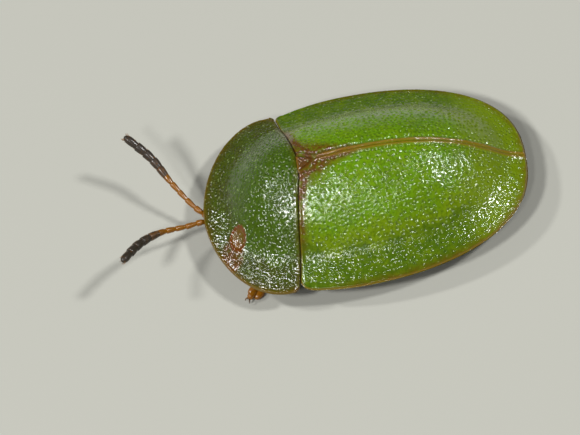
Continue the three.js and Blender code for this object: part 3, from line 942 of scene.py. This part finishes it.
def shield_rear(x):
    """s of the shield's rear edge, with its round corner."""
    side = np.abs(x)
    end_x, end_s = SHIELD_HALF_WIDTH - SHIELD_CORNER, SHIELD_SIDE_END + SHIELD_CORNER
    share = np.clip((side - SHIELD_REAR_BEND) / (end_x - SHIELD_REAR_BEND), 0, None)
    straight = SHIELD_REAR_S - (SHIELD_REAR_S - end_s) * share
    rise = np.sqrt(np.maximum(SHIELD_CORNER ** 2 - (side - end_x) ** 2, 0))
    return np.where(side > end_x, SHIELD_SIDE_END + rise, straight)


def front_of_shield(x):
    return np.interp(np.abs(x), SHIELD_FRONT[:, 0], SHIELD_FRONT[:, 1])


def shield_plan(rows):
    x = SHIELD_HALF_WIDTH * np.sin(np.linspace(-0.996, 0.996, SHIELD_COLUMNS + 1) * np.pi / 2)
    share = np.linspace(0, 1, rows + 1)[None]
    s = shield_rear(x)[:, None] * (1 - share) + front_of_shield(x)[:, None] * share
    return np.broadcast_to(x[:, None], s.shape), s


def shield_pits():
    places = []
    for x in np.arange(-2.4, 2.4, SHIELD_PIT_GRID):
        for s in np.arange(0.05, 2.4, SHIELD_PIT_GRID):
            places.append((x + shield_rng.normal(0, SHIELD_PIT_WANDER),
                           s + shield_rng.normal(0, SHIELD_PIT_WANDER)))
    x, s = shield_rng.permutation(np.array(places)).T
    inside = (distance_to(SHIELD_FRONT, np.abs(x), s) > 0.1) & (s < shield_rear(x) - 0.08)
    inside &= (s > front_of_shield(x)) & (np.abs(x) < SHIELD_HALF_WIDTH - 0.08)
    x, s = x[inside], s[inside]
    return kept_apart(np.stack([x, s, shield_top(x, s)], axis=1), SHIELD_PITS_APART)


print(f"the shield is {float(shield_rear(0.0)):.2f} mm long in the middle")

# %% [markdown]
# ## The scar on the shield
# This animal bears an oval rusty scar on the left half of its shield, ringed by small beads,
# and a stain from there out to the margin. A scar could be a separate small piece laid on
# top, but a healed wound is part of the plate. So it is a dent and a ring in the shield's own
# surface, and the same masks colour it.

# %% The scar on the shield
SCAR_X, SCAR_S, SCAR_HALF_SIZE = 0.9, 0.74, (0.27, 0.19)
SCAR_BEAD_COUNT, SCAR_BEAD_HEIGHT, SCAR_DEPTH = 14, 0.035, 0.025
STAIN_X, STAIN_S, STAIN_HALF_SIZE = 1.22, 0.56, (0.42, 0.27)


def shield_blemish(x, s):
    across, along = (x - SCAR_X) / SCAR_HALF_SIZE[0], (s - SCAR_S) / SCAR_HALF_SIZE[1]
    around = np.hypot(across, along)
    scar = 1 - smooth_step(around, 0.75, 1.05)
    ring = 0.75 + 0.25 * np.sin(np.arctan2(along, across) * SCAR_BEAD_COUNT)
    beads = bell(around, 0.95, 0.15) * ring
    out = np.hypot((x - STAIN_X) / STAIN_HALF_SIZE[0], (s - STAIN_S) / STAIN_HALF_SIZE[1])
    return scar, beads, 1 - smooth_step(out, 0.6, 1.15)


print(f"the scar is {2 * SCAR_HALF_SIZE[0]} mm wide")

# %% [markdown]
# ## Neck shield
# The shield is closed as the wing cases are, but its front edge is thin enough to need no
# rounded rim of its own. Its wrinkles are a little higher than theirs, which gives the harder
# glitter that the real shield has.

# %% Neck shield
SHIELD_RIM_DROP, SHIELD_REAR_BEAD = (-0.02, 0.0, 0.012), (0.012, 0.06, 0.04)
SHIELD_SWELL = (0.01, 0.5)  # height and length
SHIELD_WRINKLES = ((0.008, 0.11), (0.0055, 0.055))
SHIELD_PIT_DEPTH, SHIELD_LIP_HEIGHT, SHIELD_HOLLOW = 0.014, 0.0045, 0.06


def shield_marks(edge, rear, scar, beads, stain):
    rust = ridges(edge, (0.35, 0.0, 0.16)) + ridges(rear, (0.3, 0, 0.1)) + 0.95 * stain
    gold = ridges(edge, (0.45, 0.0, 0.04)) + 0.3 * scar
    return {
        "orange": (np.clip(scar * 0.1 + beads, 0, 1), 0.0),
        "gold": (np.clip(gold, 0, 1), 0.3),
        "edge": (edge * 1.15, 0.2),
        "rust": (np.clip(rust + 0.4 * scar, 0, 1), 0.3),
        # dark: painted shade along the rear edge, in the gap to the wing cases
        "dark": (ridges(rear, (0.6, 0.0, 0.015)), 0.0),
    }


def neck_shield():
    x, s = shield_plan(SHIELD_ROWS)
    edge, rear = distance_to(SHIELD_FRONT, np.abs(x), s), shield_rear(x) - s
    scar, beads, stain = shield_blemish(x, s)
    marks = shield_marks(edge, rear, scar, beads, stain)
    marks["flank"] = (steepness(np.stack([x, s, shield_top(x, s)], axis=-1)), 0.5)
    height, length = SHIELD_SWELL
    z = shield_top(x, s) + ridges(edge, RIM_BEAD, SHIELD_RIM_DROP)
    z += ridges(rear, SHIELD_REAR_BEAD, BASE_DROP) + height * waves(x, s, length, 5)
    z += SCAR_BEAD_HEIGHT * beads - SCAR_DEPTH * scar + wrinkles(x, s, SHIELD_WRINKLES, 8)
    top = np.stack([x, s, z], axis=-1)
    places = shield_pits()
    pit, lip = press_pits(top, places, SHIELD_PIT * shield_rng.uniform(0.8, 1.2, len(places)))
    marks["pit"] = (pit, 0.0)
    top = top - normals_of(top) * (SHIELD_PIT_DEPTH * pit - SHIELD_LIP_HEIGHT * lip)[..., None]
    x, s = shield_plan(UNDER_COLUMNS)
    hollow = SHIELD_HOLLOW * smooth_step(distance_to(SHIELD_FRONT, np.abs(x), s), 0, 1)
    under = np.stack([x, s, shield_top(x, s) - SHELL_EDGE - hollow], axis=-1)[:, ::-1]
    return skinned(np.concatenate([top, under], axis=1),
                   round_the_loops(marks, UNDER_COLUMNS + 1))


piece("neck_shield", neck_shield(), SHIELD, ["pronotum"])

# %% [markdown]
# ## Scutellum
# A small rusty triangle, the scutellum, fills the notch between the wing cases and keeps them
# apart in front. It could be part of one of them, but it is a plate of its own on the real
# animal, so it is a piece of its own here: a triangular sheet that follows the dome a little
# deeper, puffed up in the middle, and wrinkled like old leather.

# %% Scutellum
SCUTELLUM_STEPS, SCUTELLUM_DEPTH = 81, 0.2
SCUTELLUM_SUNK, SCUTELLUM_PUFF, FOLD_HEIGHT, FOLD_LENGTH = 0.03, 0.04, 0.006, 0.075


def scutellum():
    share = np.linspace(0, 1, SCUTELLUM_STEPS)
    across = np.linspace(-1, 1, SCUTELLUM_STEPS)
    reach = SCUTELLUM_HALF_WIDTH * (1 - 0.97 * share)
    x = reach[:, None] * across[None]
    s = np.broadcast_to((BASE_S - 0.01 + SCUTELLUM_LENGTH * share)[:, None], x.shape)
    rim = np.minimum(reach[:, None] * (1 - np.abs(across)[None]), 0.1)
    z = case_top(x, s) - SCUTELLUM_SUNK + SCUTELLUM_PUFF * smooth_step(rim, 0, 0.05)
    z += 0.009 * waves(x, s, 0.1, 3, 7)
    folds = np.sin((np.abs(x) * 0.8 + s) * 2 * np.pi / FOLD_LENGTH)
    z += FOLD_HEIGHT * folds * smooth_step(rim, 0.02, 0.06)
    top = np.stack([x, s, z], axis=-1)
    under = (top - (0, 0, SCUTELLUM_DEPTH))[:, ::-1]
    loops = np.concatenate([top, under], axis=1)
    golden_front = 0.6 * bell(loops[..., 1].reshape(-1), BASE_S, 0.035)
    return skinned(loops, {"edge": 1.5, "pit": 0.0, "rust": 0.0, "gold": golden_front})


piece("scutellum_plate", scutellum(), RUST, ["scutellum"])

# %% [markdown]
# ## Trunk plates
# The belly of a beetle is a row of hard black plates that overlap like roof tiles. It is
# mostly hidden, but it shows from low angles and in the exported model. Each plate is its own
# barrel-shaped skin, wide at its middle, set a little over the next. One function makes them
# all from where they start and end, because they differ only in that and in the keel that
# the thorax has along its middle.

# %% Trunk plates
NECK_HALF_WIDTH, TRUNK_HALF_WIDTH = 0.58, 1.52
NECK_S, WAIST_S, TRUNK_END_S = 1.0, 2.36, 6.68
BELLY = 0.74  # height of the underside above the floor
ROOF_CLEARANCE = 0.19  # between the trunk and the top of the shell
PLATE_ROWS, PLATE_SIDES = 44, 240
SIDE_RIDGE = (0.02, 0.8, 0.03)  # height, share of the half width, and width


def trunk_half_width(s):
    waist = TRUNK_HALF_WIDTH * 0.93
    share = np.clip((s - NECK_S) / (WAIST_S - NECK_S), 0, 1)
    front = NECK_HALF_WIDTH + (waist - NECK_HALF_WIDTH) * np.sin(share * np.pi / 2)
    back = np.clip((s - WIDEST_AT) / (TRUNK_END_S - WIDEST_AT), 0, 0.9999)
    ahead = np.clip((WIDEST_AT - s) / (WIDEST_AT - WAIST_S), 0, 1)
    rear = TRUNK_HALF_WIDTH * (1 - back ** 2.4) ** (1 / 2.2) * (1 - 0.07 * ahead ** 2)
    return np.where(s < WAIST_S, front, rear)


def trunk_plate(start, end, roof, lift=0.03, keel=0.0):
    s = np.linspace(start, end, PLATE_ROWS)
    share = (s - start) / (end - start)
    turn = np.arange(PLATE_SIDES) * 2 * np.pi / PLATE_SIDES
    barrel = np.sqrt(1 - (2 * share - 1) ** 8 * 0.12)
    squared = np.sign(np.cos(turn)) * np.abs(np.cos(turn)) ** 0.7
    x = (trunk_half_width(s) * barrel)[:, None] * squared
    s = np.broadcast_to(s[:, None], x.shape)
    ceiling = roof(x, s) - ROOF_CLEARANCE
    low = BELLY + 0.03 + lift * share[:, None] + 0.02 * (1 - barrel[:, None])
    low = low + 0.006 * waves(x, s, 0.16, 7) + 0.006 * waves(x, s, 0.09, 17, 7)
    height, place, width = SIDE_RIDGE
    low = low - keel * bell(x, 0, 0.08)
    low = low + height * bell(np.abs(x), place * trunk_half_width(s), width)
    middle = np.maximum((ceiling + low) / 2, low + 0.05)
    bow = np.abs(np.sin(turn))[None] ** 0.5
    z = np.where(np.sin(turn)[None] > 0, middle + (ceiling - middle) * bow,
                 middle - (middle - low) * bow)
    return skinned(np.stack([x, s, z], axis=-1), {"dark": 0.5})


piece("prothorax_plate", trunk_plate(NECK_S, 2.33, shield_top, keel=0.02), BLACK,
      ["prothorax"])
piece("middle_thorax_plate", trunk_plate(WAIST_S, 3.05, case_top), BLACK, [])
piece("hind_thorax_plate", trunk_plate(3.03, 4.16, case_top, keel=0.02), BLACK,
      ["hind_thorax"])

# %% [markdown]
# ## Abdomen rings
# Behind the thorax the abdomen is five rings of equal length. They could be one long form
# with grooves, but the real rings slide over each other, so they are five plates, each
# reaching a little under the next.

# %% Abdomen rings
RING_COUNT, RING_LAP, RINGS_START_S = 5, 0.05, 4.1
ring_ends = np.linspace(RINGS_START_S, TRUNK_END_S, RING_COUNT + 1)
for number, (start, end) in enumerate(zip(ring_ends[:-1], ring_ends[1:]), 1):
    nodes = ["abdomen"] if number == 1 else []
    ring = trunk_plate(start, end + RING_LAP, case_top, lift=0.05)
    piece(f"abdomen_ring_{number}", ring, BLACK, nodes)

# %% [markdown]
# ## Head
# The head hangs below the shield with its face to the floor: a capsule, a neck, a face plate, a
# lip, the sockets of the feelers, a pair of jaws and a pair of jointed palps. One sculpted
# head would be smoother, but these are separate hard plates on the animal, and simple eggs
# and limbs that sink into each other show the same joints. The parts that come in pairs are
# made by one loop, which runs once for each side.

# %% Head
HEAD_S, HEAD_Z = 0.62, 0.385
head_parts = [
    ball((0.46, 0.33, 0.235), (0, HEAD_S, HEAD_Z), 0.42, 40, dark=0.5),
    ball((0.34, 0.26, 0.2), (0, 0.78, 0.5), 0, 32, dark=0.6),
    ball((0.22, 0.17, 0.15), (0, 0.42, 0.26), 0.3, 32, dark=0.2),
    ball((0.15, 0.09, 0.06), (0, 0.34, 0.155), 0.2, 28, dark=0.0),
]
PALP_STEPS = 20
palp_radii = 0.028 + 0.01 * np.abs(np.sin(np.linspace(0, 3 * np.pi, PALP_STEPS)))
for hand in (1, -1):
    head_parts.append(ball((0.1, 0.07, 0.1), (hand * 0.15, 0.37, 0.36), 0, 24, dark=0.4))
    jaw = [(hand * 0.14, 0.42, 0.2), (hand * 0.1, 0.33, 0.12), (hand * 0.02, 0.3, 0.08)]
    head_parts.append(limb(jaw, [0.06, 0.05, 0.02], dark=0.0))
    palp = [(hand * 0.18, 0.48, 0.2), (hand * 0.24, 0.38, 0.12), (hand * 0.22, 0.3, 0.07)]
    head_parts.append(limb(smooth_route(palp, PALP_STEPS), palp_radii, 14, dark=-0.4))
piece("head_capsule", joined(head_parts), BLACK, ["head"])

# %% [markdown]
# ## Eyes
# An insect's eye is a dome of many small lenses. A bump map of hexagons would do from afar.
# Two crossed sine waves that lift the surface by a fiftieth give real facets for no more
# work, and they still read as lenses in a close view.

# %% Eyes
EYE_HALF_SIZE, EYE_PLACE = (0.13, 0.19, 0.16), (0.42, 0.6, 0.43)
FACET_RATE, FACET_HEIGHT = 210, 0.02


def faceted_eye(hand):
    centre = np.array(EYE_PLACE) * (hand, 1, 1)
    points, faces, values = ball(EYE_HALF_SIZE, centre, 0, 64, dark=0.6)
    waves_up, waves_along = (np.sin(points[:, k] * FACET_RATE) for k in (2, 1))
    facets = 0.5 + 0.5 * waves_along * waves_up
    return centre + (points - centre) * (1 + FACET_HEIGHT * facets[:, None]), faces, values


for side, hand in (("left", 1), ("right", -1)):
    piece(f"compound_eye_{side}", faceted_eye(hand), EYE, [f"eye_{side}"])

# %% [markdown]
# ## Joints of a feeler
# Each feeler has eleven joints: a stout first one, a thin amber stalk, and a club of five
# that is dark and downy. Each joint swells towards its tip and closes round it, as beads on
# a string do. A single tube with rings of colour would lose those waists in the outline. The
# path is a curve through a few places, and the joints share it out in proportion to
# their lengths.

# %% Joints of a feeler
FEELER_ROUTES = {
    "right": [(-0.2, 0.36, 0.37), (-0.26, 0.1, 0.42), (-0.31, -0.04, 0.5), (-0.56, -0.27, 0.63),
              (-1.05, -0.61, 0.88), (-1.64, -0.96, 1.14), (-2.14, -1.47, 1.5)],
    "left": [(0.12, 0.36, 0.37), (0.0, 0.1, 0.42), (-0.03, -0.04, 0.5), (0.1, -0.42, 0.64),
             (0.31, -1.02, 0.9), (0.66, -1.5, 1.12), (1.23, -1.91, 1.4)],
}
JOINT_LENGTHS = [1.6, 0.9, 1.15, 1.05, 1.0, 0.9, 1.0, 1.0, 1.0, 1.0, 1.5]  # in proportion
JOINT_RADII = [0.09, 0.072, 0.066, 0.066, 0.07, 0.076, 0.095, 0.105, 0.109, 0.108, 0.102]
JOINT_DARK = [-0.2, -0.2, -0.2, -0.1, 0.05, 0.3, 0.75, 1.0, 1.1, 1.1, 1.1]
CLUB_START, LAST_JOINT, JOINT_STEPS, ROUTE_STEPS = 6, 10, 22, 400


def on_route(curve, share):
    """The place at a share of the way along a curve."""
    steps = np.linspace(0, 1, ROUTE_STEPS)
    return np.stack([np.interp(share, steps, curve[:, k]) for k in range(3)], axis=-1)


def joint_radii(number):
    share = np.linspace(0, 1, JOINT_STEPS)
    neck = 0.66 if number < CLUB_START else 0.8
    swell = neck + (1 - neck) * np.sin(np.clip(share * 1.25, 0, 1) * np.pi / 2)
    close = np.sqrt(np.clip(1 - np.clip((share - 0.88) / 0.12, 0, 1) ** 2 * 0.75, 0.02, 1))
    if number == LAST_JOINT:
        close = np.sqrt(np.clip(1 - np.clip((share - 0.45) / 0.55, 0, 1) ** 2.2, 0.004, 1))
    return JOINT_RADII[number] * swell * close


print("joints of the club:", len(JOINT_LENGTHS) - CLUB_START)

# %% [markdown]
# ## Feelers
# The down on the club is what makes it look grey and soft. Blender has hair systems for fur,
# but they are lost when the model is exported as a mesh. So each hair is a tiny four-sided
# limb with its root sunk in the joint, leaning forward. The stalk carries only a few.

# %% Feelers
HAIR_RADIUS, HAIR_OUT, HAIR_AHEAD = 0.0035, 0.022, 0.045
CLUB_HAIRS, STALK_HAIRS = 70, 10


def unit(way):
    return way / np.linalg.norm(way)


def hair(root, tip, width, **values):
    centres = np.stack([root + (tip - root) * t for t in (0.0, 0.5, 1.0)])
    return limb(centres, [width, width * 0.8, width * 0.15], 4, **values)


def feeler(route, seed):
    own = np.random.default_rng(seed)
    curve = smooth_route(route, ROUTE_STEPS)
    ahead = unit(curve[-1] - curve[0])
    ends = np.concatenate([[0], np.cumsum(JOINT_LENGTHS)]) / sum(JOINT_LENGTHS)
    parts = []
    for k, (radius, dark) in enumerate(zip(JOINT_RADII, JOINT_DARK)):
        low, high = ends[k], ends[k + 1] + (0.004 if k < LAST_JOINT else 0)
        centres = on_route(curve, np.linspace(low, high, JOINT_STEPS))
        parts.append(limb(centres, joint_radii(k), 24, dark=dark))
        for _ in range(CLUB_HAIRS if k >= CLUB_START else STALK_HAIRS):
            centre = on_route(curve, low + (high - low) * own.uniform(0.15, 0.95))
            out = unit(own.normal(size=3))
            out = unit(out - ahead * out.dot(ahead))
            root = centre + out * radius * 0.8
            tip = root + out * HAIR_OUT + ahead * HAIR_AHEAD
            parts.append(hair(root, tip, HAIR_RADIUS, dark=-0.5))
    return joined(parts)


for side, seed in (("left", 3), ("right", 4)):
    piece(f"feeler_{side}", feeler(FEELER_ROUTES[side], seed), AMBER, [f"antenna_{side}"])

# %% [markdown]
# ## Hip, thigh and shin
# A leg starts at a ball-like hip, swells to a thigh, bends at the knee and goes down to the
# ankle in a shin that widens. Rigging one leg and posing it six times is the way of film
# work. This model stands still, so each leg is made from its own four places: hip, knee,
# ankle and toe. The thigh is black at the hip and turns amber towards the knee.

# %% Hip, thigh and shin
LEG_PLACES = {
    "front": ((0.34, 1.62), (1.2, 1.66), (1.62, 1.2), (2.04, 0.72)),
    "middle": ((0.46, 2.86), (1.32, 2.74), (1.62, 3.32), (2.12, 3.62)),
    "hind": ((0.46, 3.8), (1.3, 4.25), (1.52, 4.9), (1.86, 5.42)),
}
LEG_HEIGHTS = (0.56, 0.46, 0.2, 0.09)  # of hip, knee, ankle and toe
LEG_STEPS = 26


def upper_leg(hip, knee, shin):
    share = np.linspace(0, 1, LEG_STEPS)
    thigh = np.linspace(hip, knee, LEG_STEPS) + np.outer(np.sin(share * np.pi), (0, 0, 0.05))
    thigh_radii = 0.085 + 0.065 * np.sin(share * np.pi) ** 0.8
    thigh_dark = 0.95 - 1.2 * smooth_step(share, 0.35, 0.7)
    return [
        ball((0.24, 0.2, 0.17), hip + (0, 0, 0.08), 0, 32, dark=0.95),
        ball((0.11, 0.11, 0.1), thigh[3], 0, 24, dark=0.7),
        limb(thigh[2:], thigh_radii[2:], 24, 0.85, dark=thigh_dark[2:].repeat(24)),
        ball((0.09, 0.09, 0.085), knee, 0, 24, dark=0.1),
        limb(shin, 0.07 + 0.045 * share ** 1.5, 22, 0.9, dark=-0.2),
    ]


print("legs on each side:", ", ".join(LEG_PLACES))

# %% [markdown]
# ## Foot
# The foot of such a beetle is a row of broad hairy soles: two pads, a third one split in two
# lobes, and a slim last joint with a pair of claws rising between them. The pads are eggs
# with a flat underside, cut off level so that they stand on the floor and do not float.

# %% Foot
FOOT_PADS = (  # share of the foot's length, sideways, half sizes, darkness
    (0.06, 0, (0.13, 0.11, 0.12), 0.0),
    (0.32, 0, (0.14, 0.16, 0.1), 0.0),
    (0.6, 0.09, (0.17, 0.11, 0.085), 0.05),
    (0.6, -0.09, (0.17, 0.11, 0.085), 0.05),
)
SOLE_CUT = 0.8  # share of a pad's half height that is left below its middle
CLAW_STEPS, LAST_JOINT_STEPS, UP = 12, 20, np.array((0.0, 0.0, 1.0))


def foot_pad(place, heading, sideways, size, dark):
    points, faces, values = ball(size, (0, 0, 0), 0, 24, dark=dark)
    points = points @ np.stack([heading, sideways, UP])
    points[:, 2] = np.maximum(points[:, 2], -size[2] * SOLE_CUT)
    points = points + place + (0, 0, size[2] * SOLE_CUT)
    return points, facing_out(points, faces), values


def last_joint(start, heading, sideways):
    route = [start + UP * 0.1, start + heading * 0.14 + UP * 0.13,
             start + heading * 0.3 + UP * 0.115]
    radii = 0.055 + 0.03 * np.sin(np.linspace(0, 2.2, LAST_JOINT_STEPS))
    radii[-6:] *= np.sqrt(1 - np.linspace(0, 0.97, 6) ** 2)
    parts = [limb(smooth_route(route, LAST_JOINT_STEPS), radii, 18, dark=0.1)]
    for side in (1, -1):
        root = start + heading * 0.28 + UP * 0.11 + sideways * side * 0.02
        claw = [root, root + heading * 0.05 + sideways * side * 0.03 + UP * 0.01,
                root + heading * 0.08 + sideways * side * 0.05 - UP * 0.06]
        claw_radii = np.linspace(0.024, 0.005, CLAW_STEPS)
        parts.append(limb(smooth_route(claw, CLAW_STEPS), claw_radii, 10, dark=0.6))
    return parts


print("pads and lobes on one foot:", len(FOOT_PADS))

# %% [markdown]
# ## Hairs of a leg
# The soles carry a fringe of short hairs, with which the animal clings, and the shin has some
# bristles that stand out all round. As on the feelers, each hair is a tiny mesh of its own,
# in a place drawn from a random generator with a fixed seed.

# %% Hairs of a leg
SOLE_HAIRS, SHIN_HAIRS, LEG_HAIR_RADIUS = 90, 60, 0.004


def leg_hairs(own, foot_start, length, heading, sideways, shin):
    parts = []
    for _ in range(SOLE_HAIRS):
        root = foot_start + heading * own.uniform(0.1, 0.75) * length
        root = root + sideways * own.uniform(-0.17, 0.17) + UP * 0.035
        out = heading * own.uniform(-0.02, 0.04) + sideways * own.normal(0, 0.02)
        parts.append(hair(root, root + out - UP * 0.03, LEG_HAIR_RADIUS, dark=-0.4))
    for _ in range(SHIN_HAIRS):
        spot = shin[own.integers(6, LEG_STEPS)]
        out = unit(own.normal(size=3))
        tip = spot + out * 0.12 + heading * 0.03
        parts.append(hair(spot + out * 0.07, tip, LEG_HAIR_RADIUS, dark=-0.4))
    return parts


print("hairs on six legs:", 6 * (SOLE_HAIRS + SHIN_HAIRS))

# %% [markdown]
# ## Legs
# The parts come together here. Every leg is made for the left side and mirrored for the
# right one. A mirrored skin is inside out, so its faces are turned round as well. Whatever
# would reach below the floor is set level with it.

# %% Legs
def leg(hand, places, seed):
    hip, knee, ankle, toe = (np.array((x, s, z)) for (x, s), z in zip(places, LEG_HEIGHTS))
    shin = smooth_route([knee, (knee + ankle) / 2 + (0, 0, 0.04), ankle], LEG_STEPS)
    foot_start = ankle * (1, 1, 0)
    length = np.linalg.norm((toe - ankle)[:2])
    heading = unit((toe - ankle) * (1, 1, 0))
    sideways = np.array((-heading[1], heading[0], 0.0))
    parts = upper_leg(hip, knee, shin)
    for share, across, size, dark in FOOT_PADS:
        place = foot_start + heading * share * length + sideways * across
        parts.append(foot_pad(place, heading, sideways, size, dark))
    parts += last_joint(foot_start + heading * length * 0.55, heading, sideways)
    own = np.random.default_rng(seed)
    parts += leg_hairs(own, foot_start, length, heading, sideways, shin)
    points, faces, values = joined(parts)
    points[:, 2] = np.maximum(points[:, 2], 0.0)
    if hand < 0:
        faces = [face[::-1] for face in faces]
    return points * (hand, 1, 1), faces, values


for side, hand in (("left", 1), ("right", -1)):
    for number, (pair, places) in enumerate(LEG_PLACES.items()):
        piece(f"{pair}_leg_{side}", leg(hand, places, 30 + number + 5 * hand), AMBER,
              [f"leg_{pair}_{side}"])

# %% [markdown]
# ## Floor
# The beetle stands on a plain pale floor, wide enough to fill the view from any side. It is
# matte, because a shiny floor would mirror the lamps, and a little grey, because a white one
# would throw too much light back up onto the flanks.

# %% Floor
FLOOR_REACH = 0.6  # metres
FLOOR_ROUGHNESS = 0.9


def pale_floor():
    mesh = bpy.data.meshes.new("floor")
    corners = [(x * FLOOR_REACH, y * FLOOR_REACH, 0)
               for x, y in ((-1, -1), (1, -1), (1, 1), (-1, 1))]
    mesh.from_pydata(corners, [], [(0, 1, 2, 3)])
    finish = bpy.data.materials.new("pale_floor")
    finish.use_nodes = True
    shader = finish.node_tree.nodes["Principled BSDF"]
    shader.inputs["Base Color"].default_value = rgb("a8a89f")
    shader.inputs["Roughness"].default_value = FLOOR_ROUGHNESS
    mesh.materials.append(finish)
    made = bpy.data.objects.new("floor", mesh)
    bpy.context.collection.objects.link(made)


pale_floor()
print(f"the floor is {2 * FLOOR_REACH} m wide")

# %% [markdown]
# ## Camera
# Close-up photographs of insects are taken with long lenses from a distance, which show
# hardly any perspective. The camera looks down from the animal's left, leaning by 35 degrees
# from straight above, and is rolled a little. Its distance follows from the scale: at 43.5
# pixels to the millimetre the frame is about 13 mm wide. Aiming it by eye would work too, but
# a known scale lets every size be checked in the picture.

# %% Camera
PHOTO_SIZE = (580, 435)
PX_PER_MM = 43.5
FRONT_EDGE_PX = (203.5, 219.0)  # the middle of the shield's front edge in the photograph
TILT, YAW, ROLL = math.radians(35), math.radians(6.0), math.radians(11.35)
LENS, SENSOR = 300.0, 36.0

back = Vector((math.sin(TILT) * math.cos(YAW), math.sin(TILT) * math.sin(YAW), math.cos(TILT)))
level_right = (Vector((0, 1, 0)) - back * back.y).normalized()
level_up = back.cross(level_right)
right = level_right * math.cos(ROLL) - level_up * math.sin(ROLL)
up = level_right * math.sin(ROLL) + level_up * math.cos(ROLL)
middle_right = (PHOTO_SIZE[0] / 2 - FRONT_EDGE_PX[0]) / PX_PER_MM
middle_up = -(PHOTO_SIZE[1] / 2 - FRONT_EDGE_PX[1]) / PX_PER_MM
aim = Vector((0, FRONT_Y, RIM_HEIGHT)) + right * middle_right + up * middle_up
frame_width = PHOTO_SIZE[0] / PX_PER_MM
distance = frame_width * LENS / SENSOR

lens = bpy.data.cameras.new("camera")
lens.lens, lens.sensor_width = LENS, SENSOR
lens.clip_start, lens.clip_end = 0.005, 5.0
camera = bpy.data.objects.new("camera", lens)
bpy.context.collection.objects.link(camera)
turned = Matrix([(right.x, up.x, back.x, 0), (right.y, up.y, back.y, 0),
                 (right.z, up.z, back.z, 0), (0, 0, 0, 1)])
camera.matrix_world = Matrix.Translation((aim + back * distance) * MM) @ turned
bpy.context.scene.camera = camera
print(f"the camera stands {distance:.0f} mm away")

# %% [markdown]
# ## Lamps
# White glints on the shell are mirror images of lamps, one in every lip and wrinkle that
# faces the right way. The lamps are discs a few times as wide as the beetle is long, which
# keeps the shadows soft. Wider ones would smear the glints into a haze. Each one lights its
# own zone: the front of the wing cases and the side of the shield, the shield's front
# margin, the tail, and the near side. A faint even sky fills the shadows. Blender's default
# view transform softens strong greens, so the plain "Standard" one is used.

# %% Lamps
LAMPS = {  # direction from the animal, distance and size in mm, watts
    "front_lamp": ((0.38, -0.5, 0.78), 260, 42, 0.43),
    "low_front_lamp": ((-0.22, -0.7, 0.68), 260, 30, 0.26),
    "rear_lamp": ((0.1, 0.65, 0.75), 260, 34, 0.4),
    "side_lamp": ((0.6, -0.18, 0.74), 270, 30, 0.14),
}
SKY_STRENGTH = 0.06


def lamp(name, direction, distance_mm, size_mm, watts):
    light = bpy.data.lights.new(name, "AREA")
    light.shape, light.size, light.energy = "DISK", size_mm * MM, watts
    made = bpy.data.objects.new(name, light)
    bpy.context.collection.objects.link(made)
    way = Vector(direction).normalized()
    made.location = way * distance_mm * MM
    made.rotation_euler = way.to_track_quat("Z", "Y").to_euler()


for name, settings in LAMPS.items():
    lamp(name, *settings)
world = bpy.data.worlds.new("soft_sky")
world.use_nodes = True
sky = world.node_tree.nodes["Background"]
sky.inputs["Color"].default_value = (1.0, 1.0, 1.0, 1.0)
sky.inputs["Strength"].default_value = SKY_STRENGTH
bpy.context.scene.world = world
bpy.context.scene.view_settings.view_transform = "Standard"
print("lamps:", ", ".join(LAMPS))
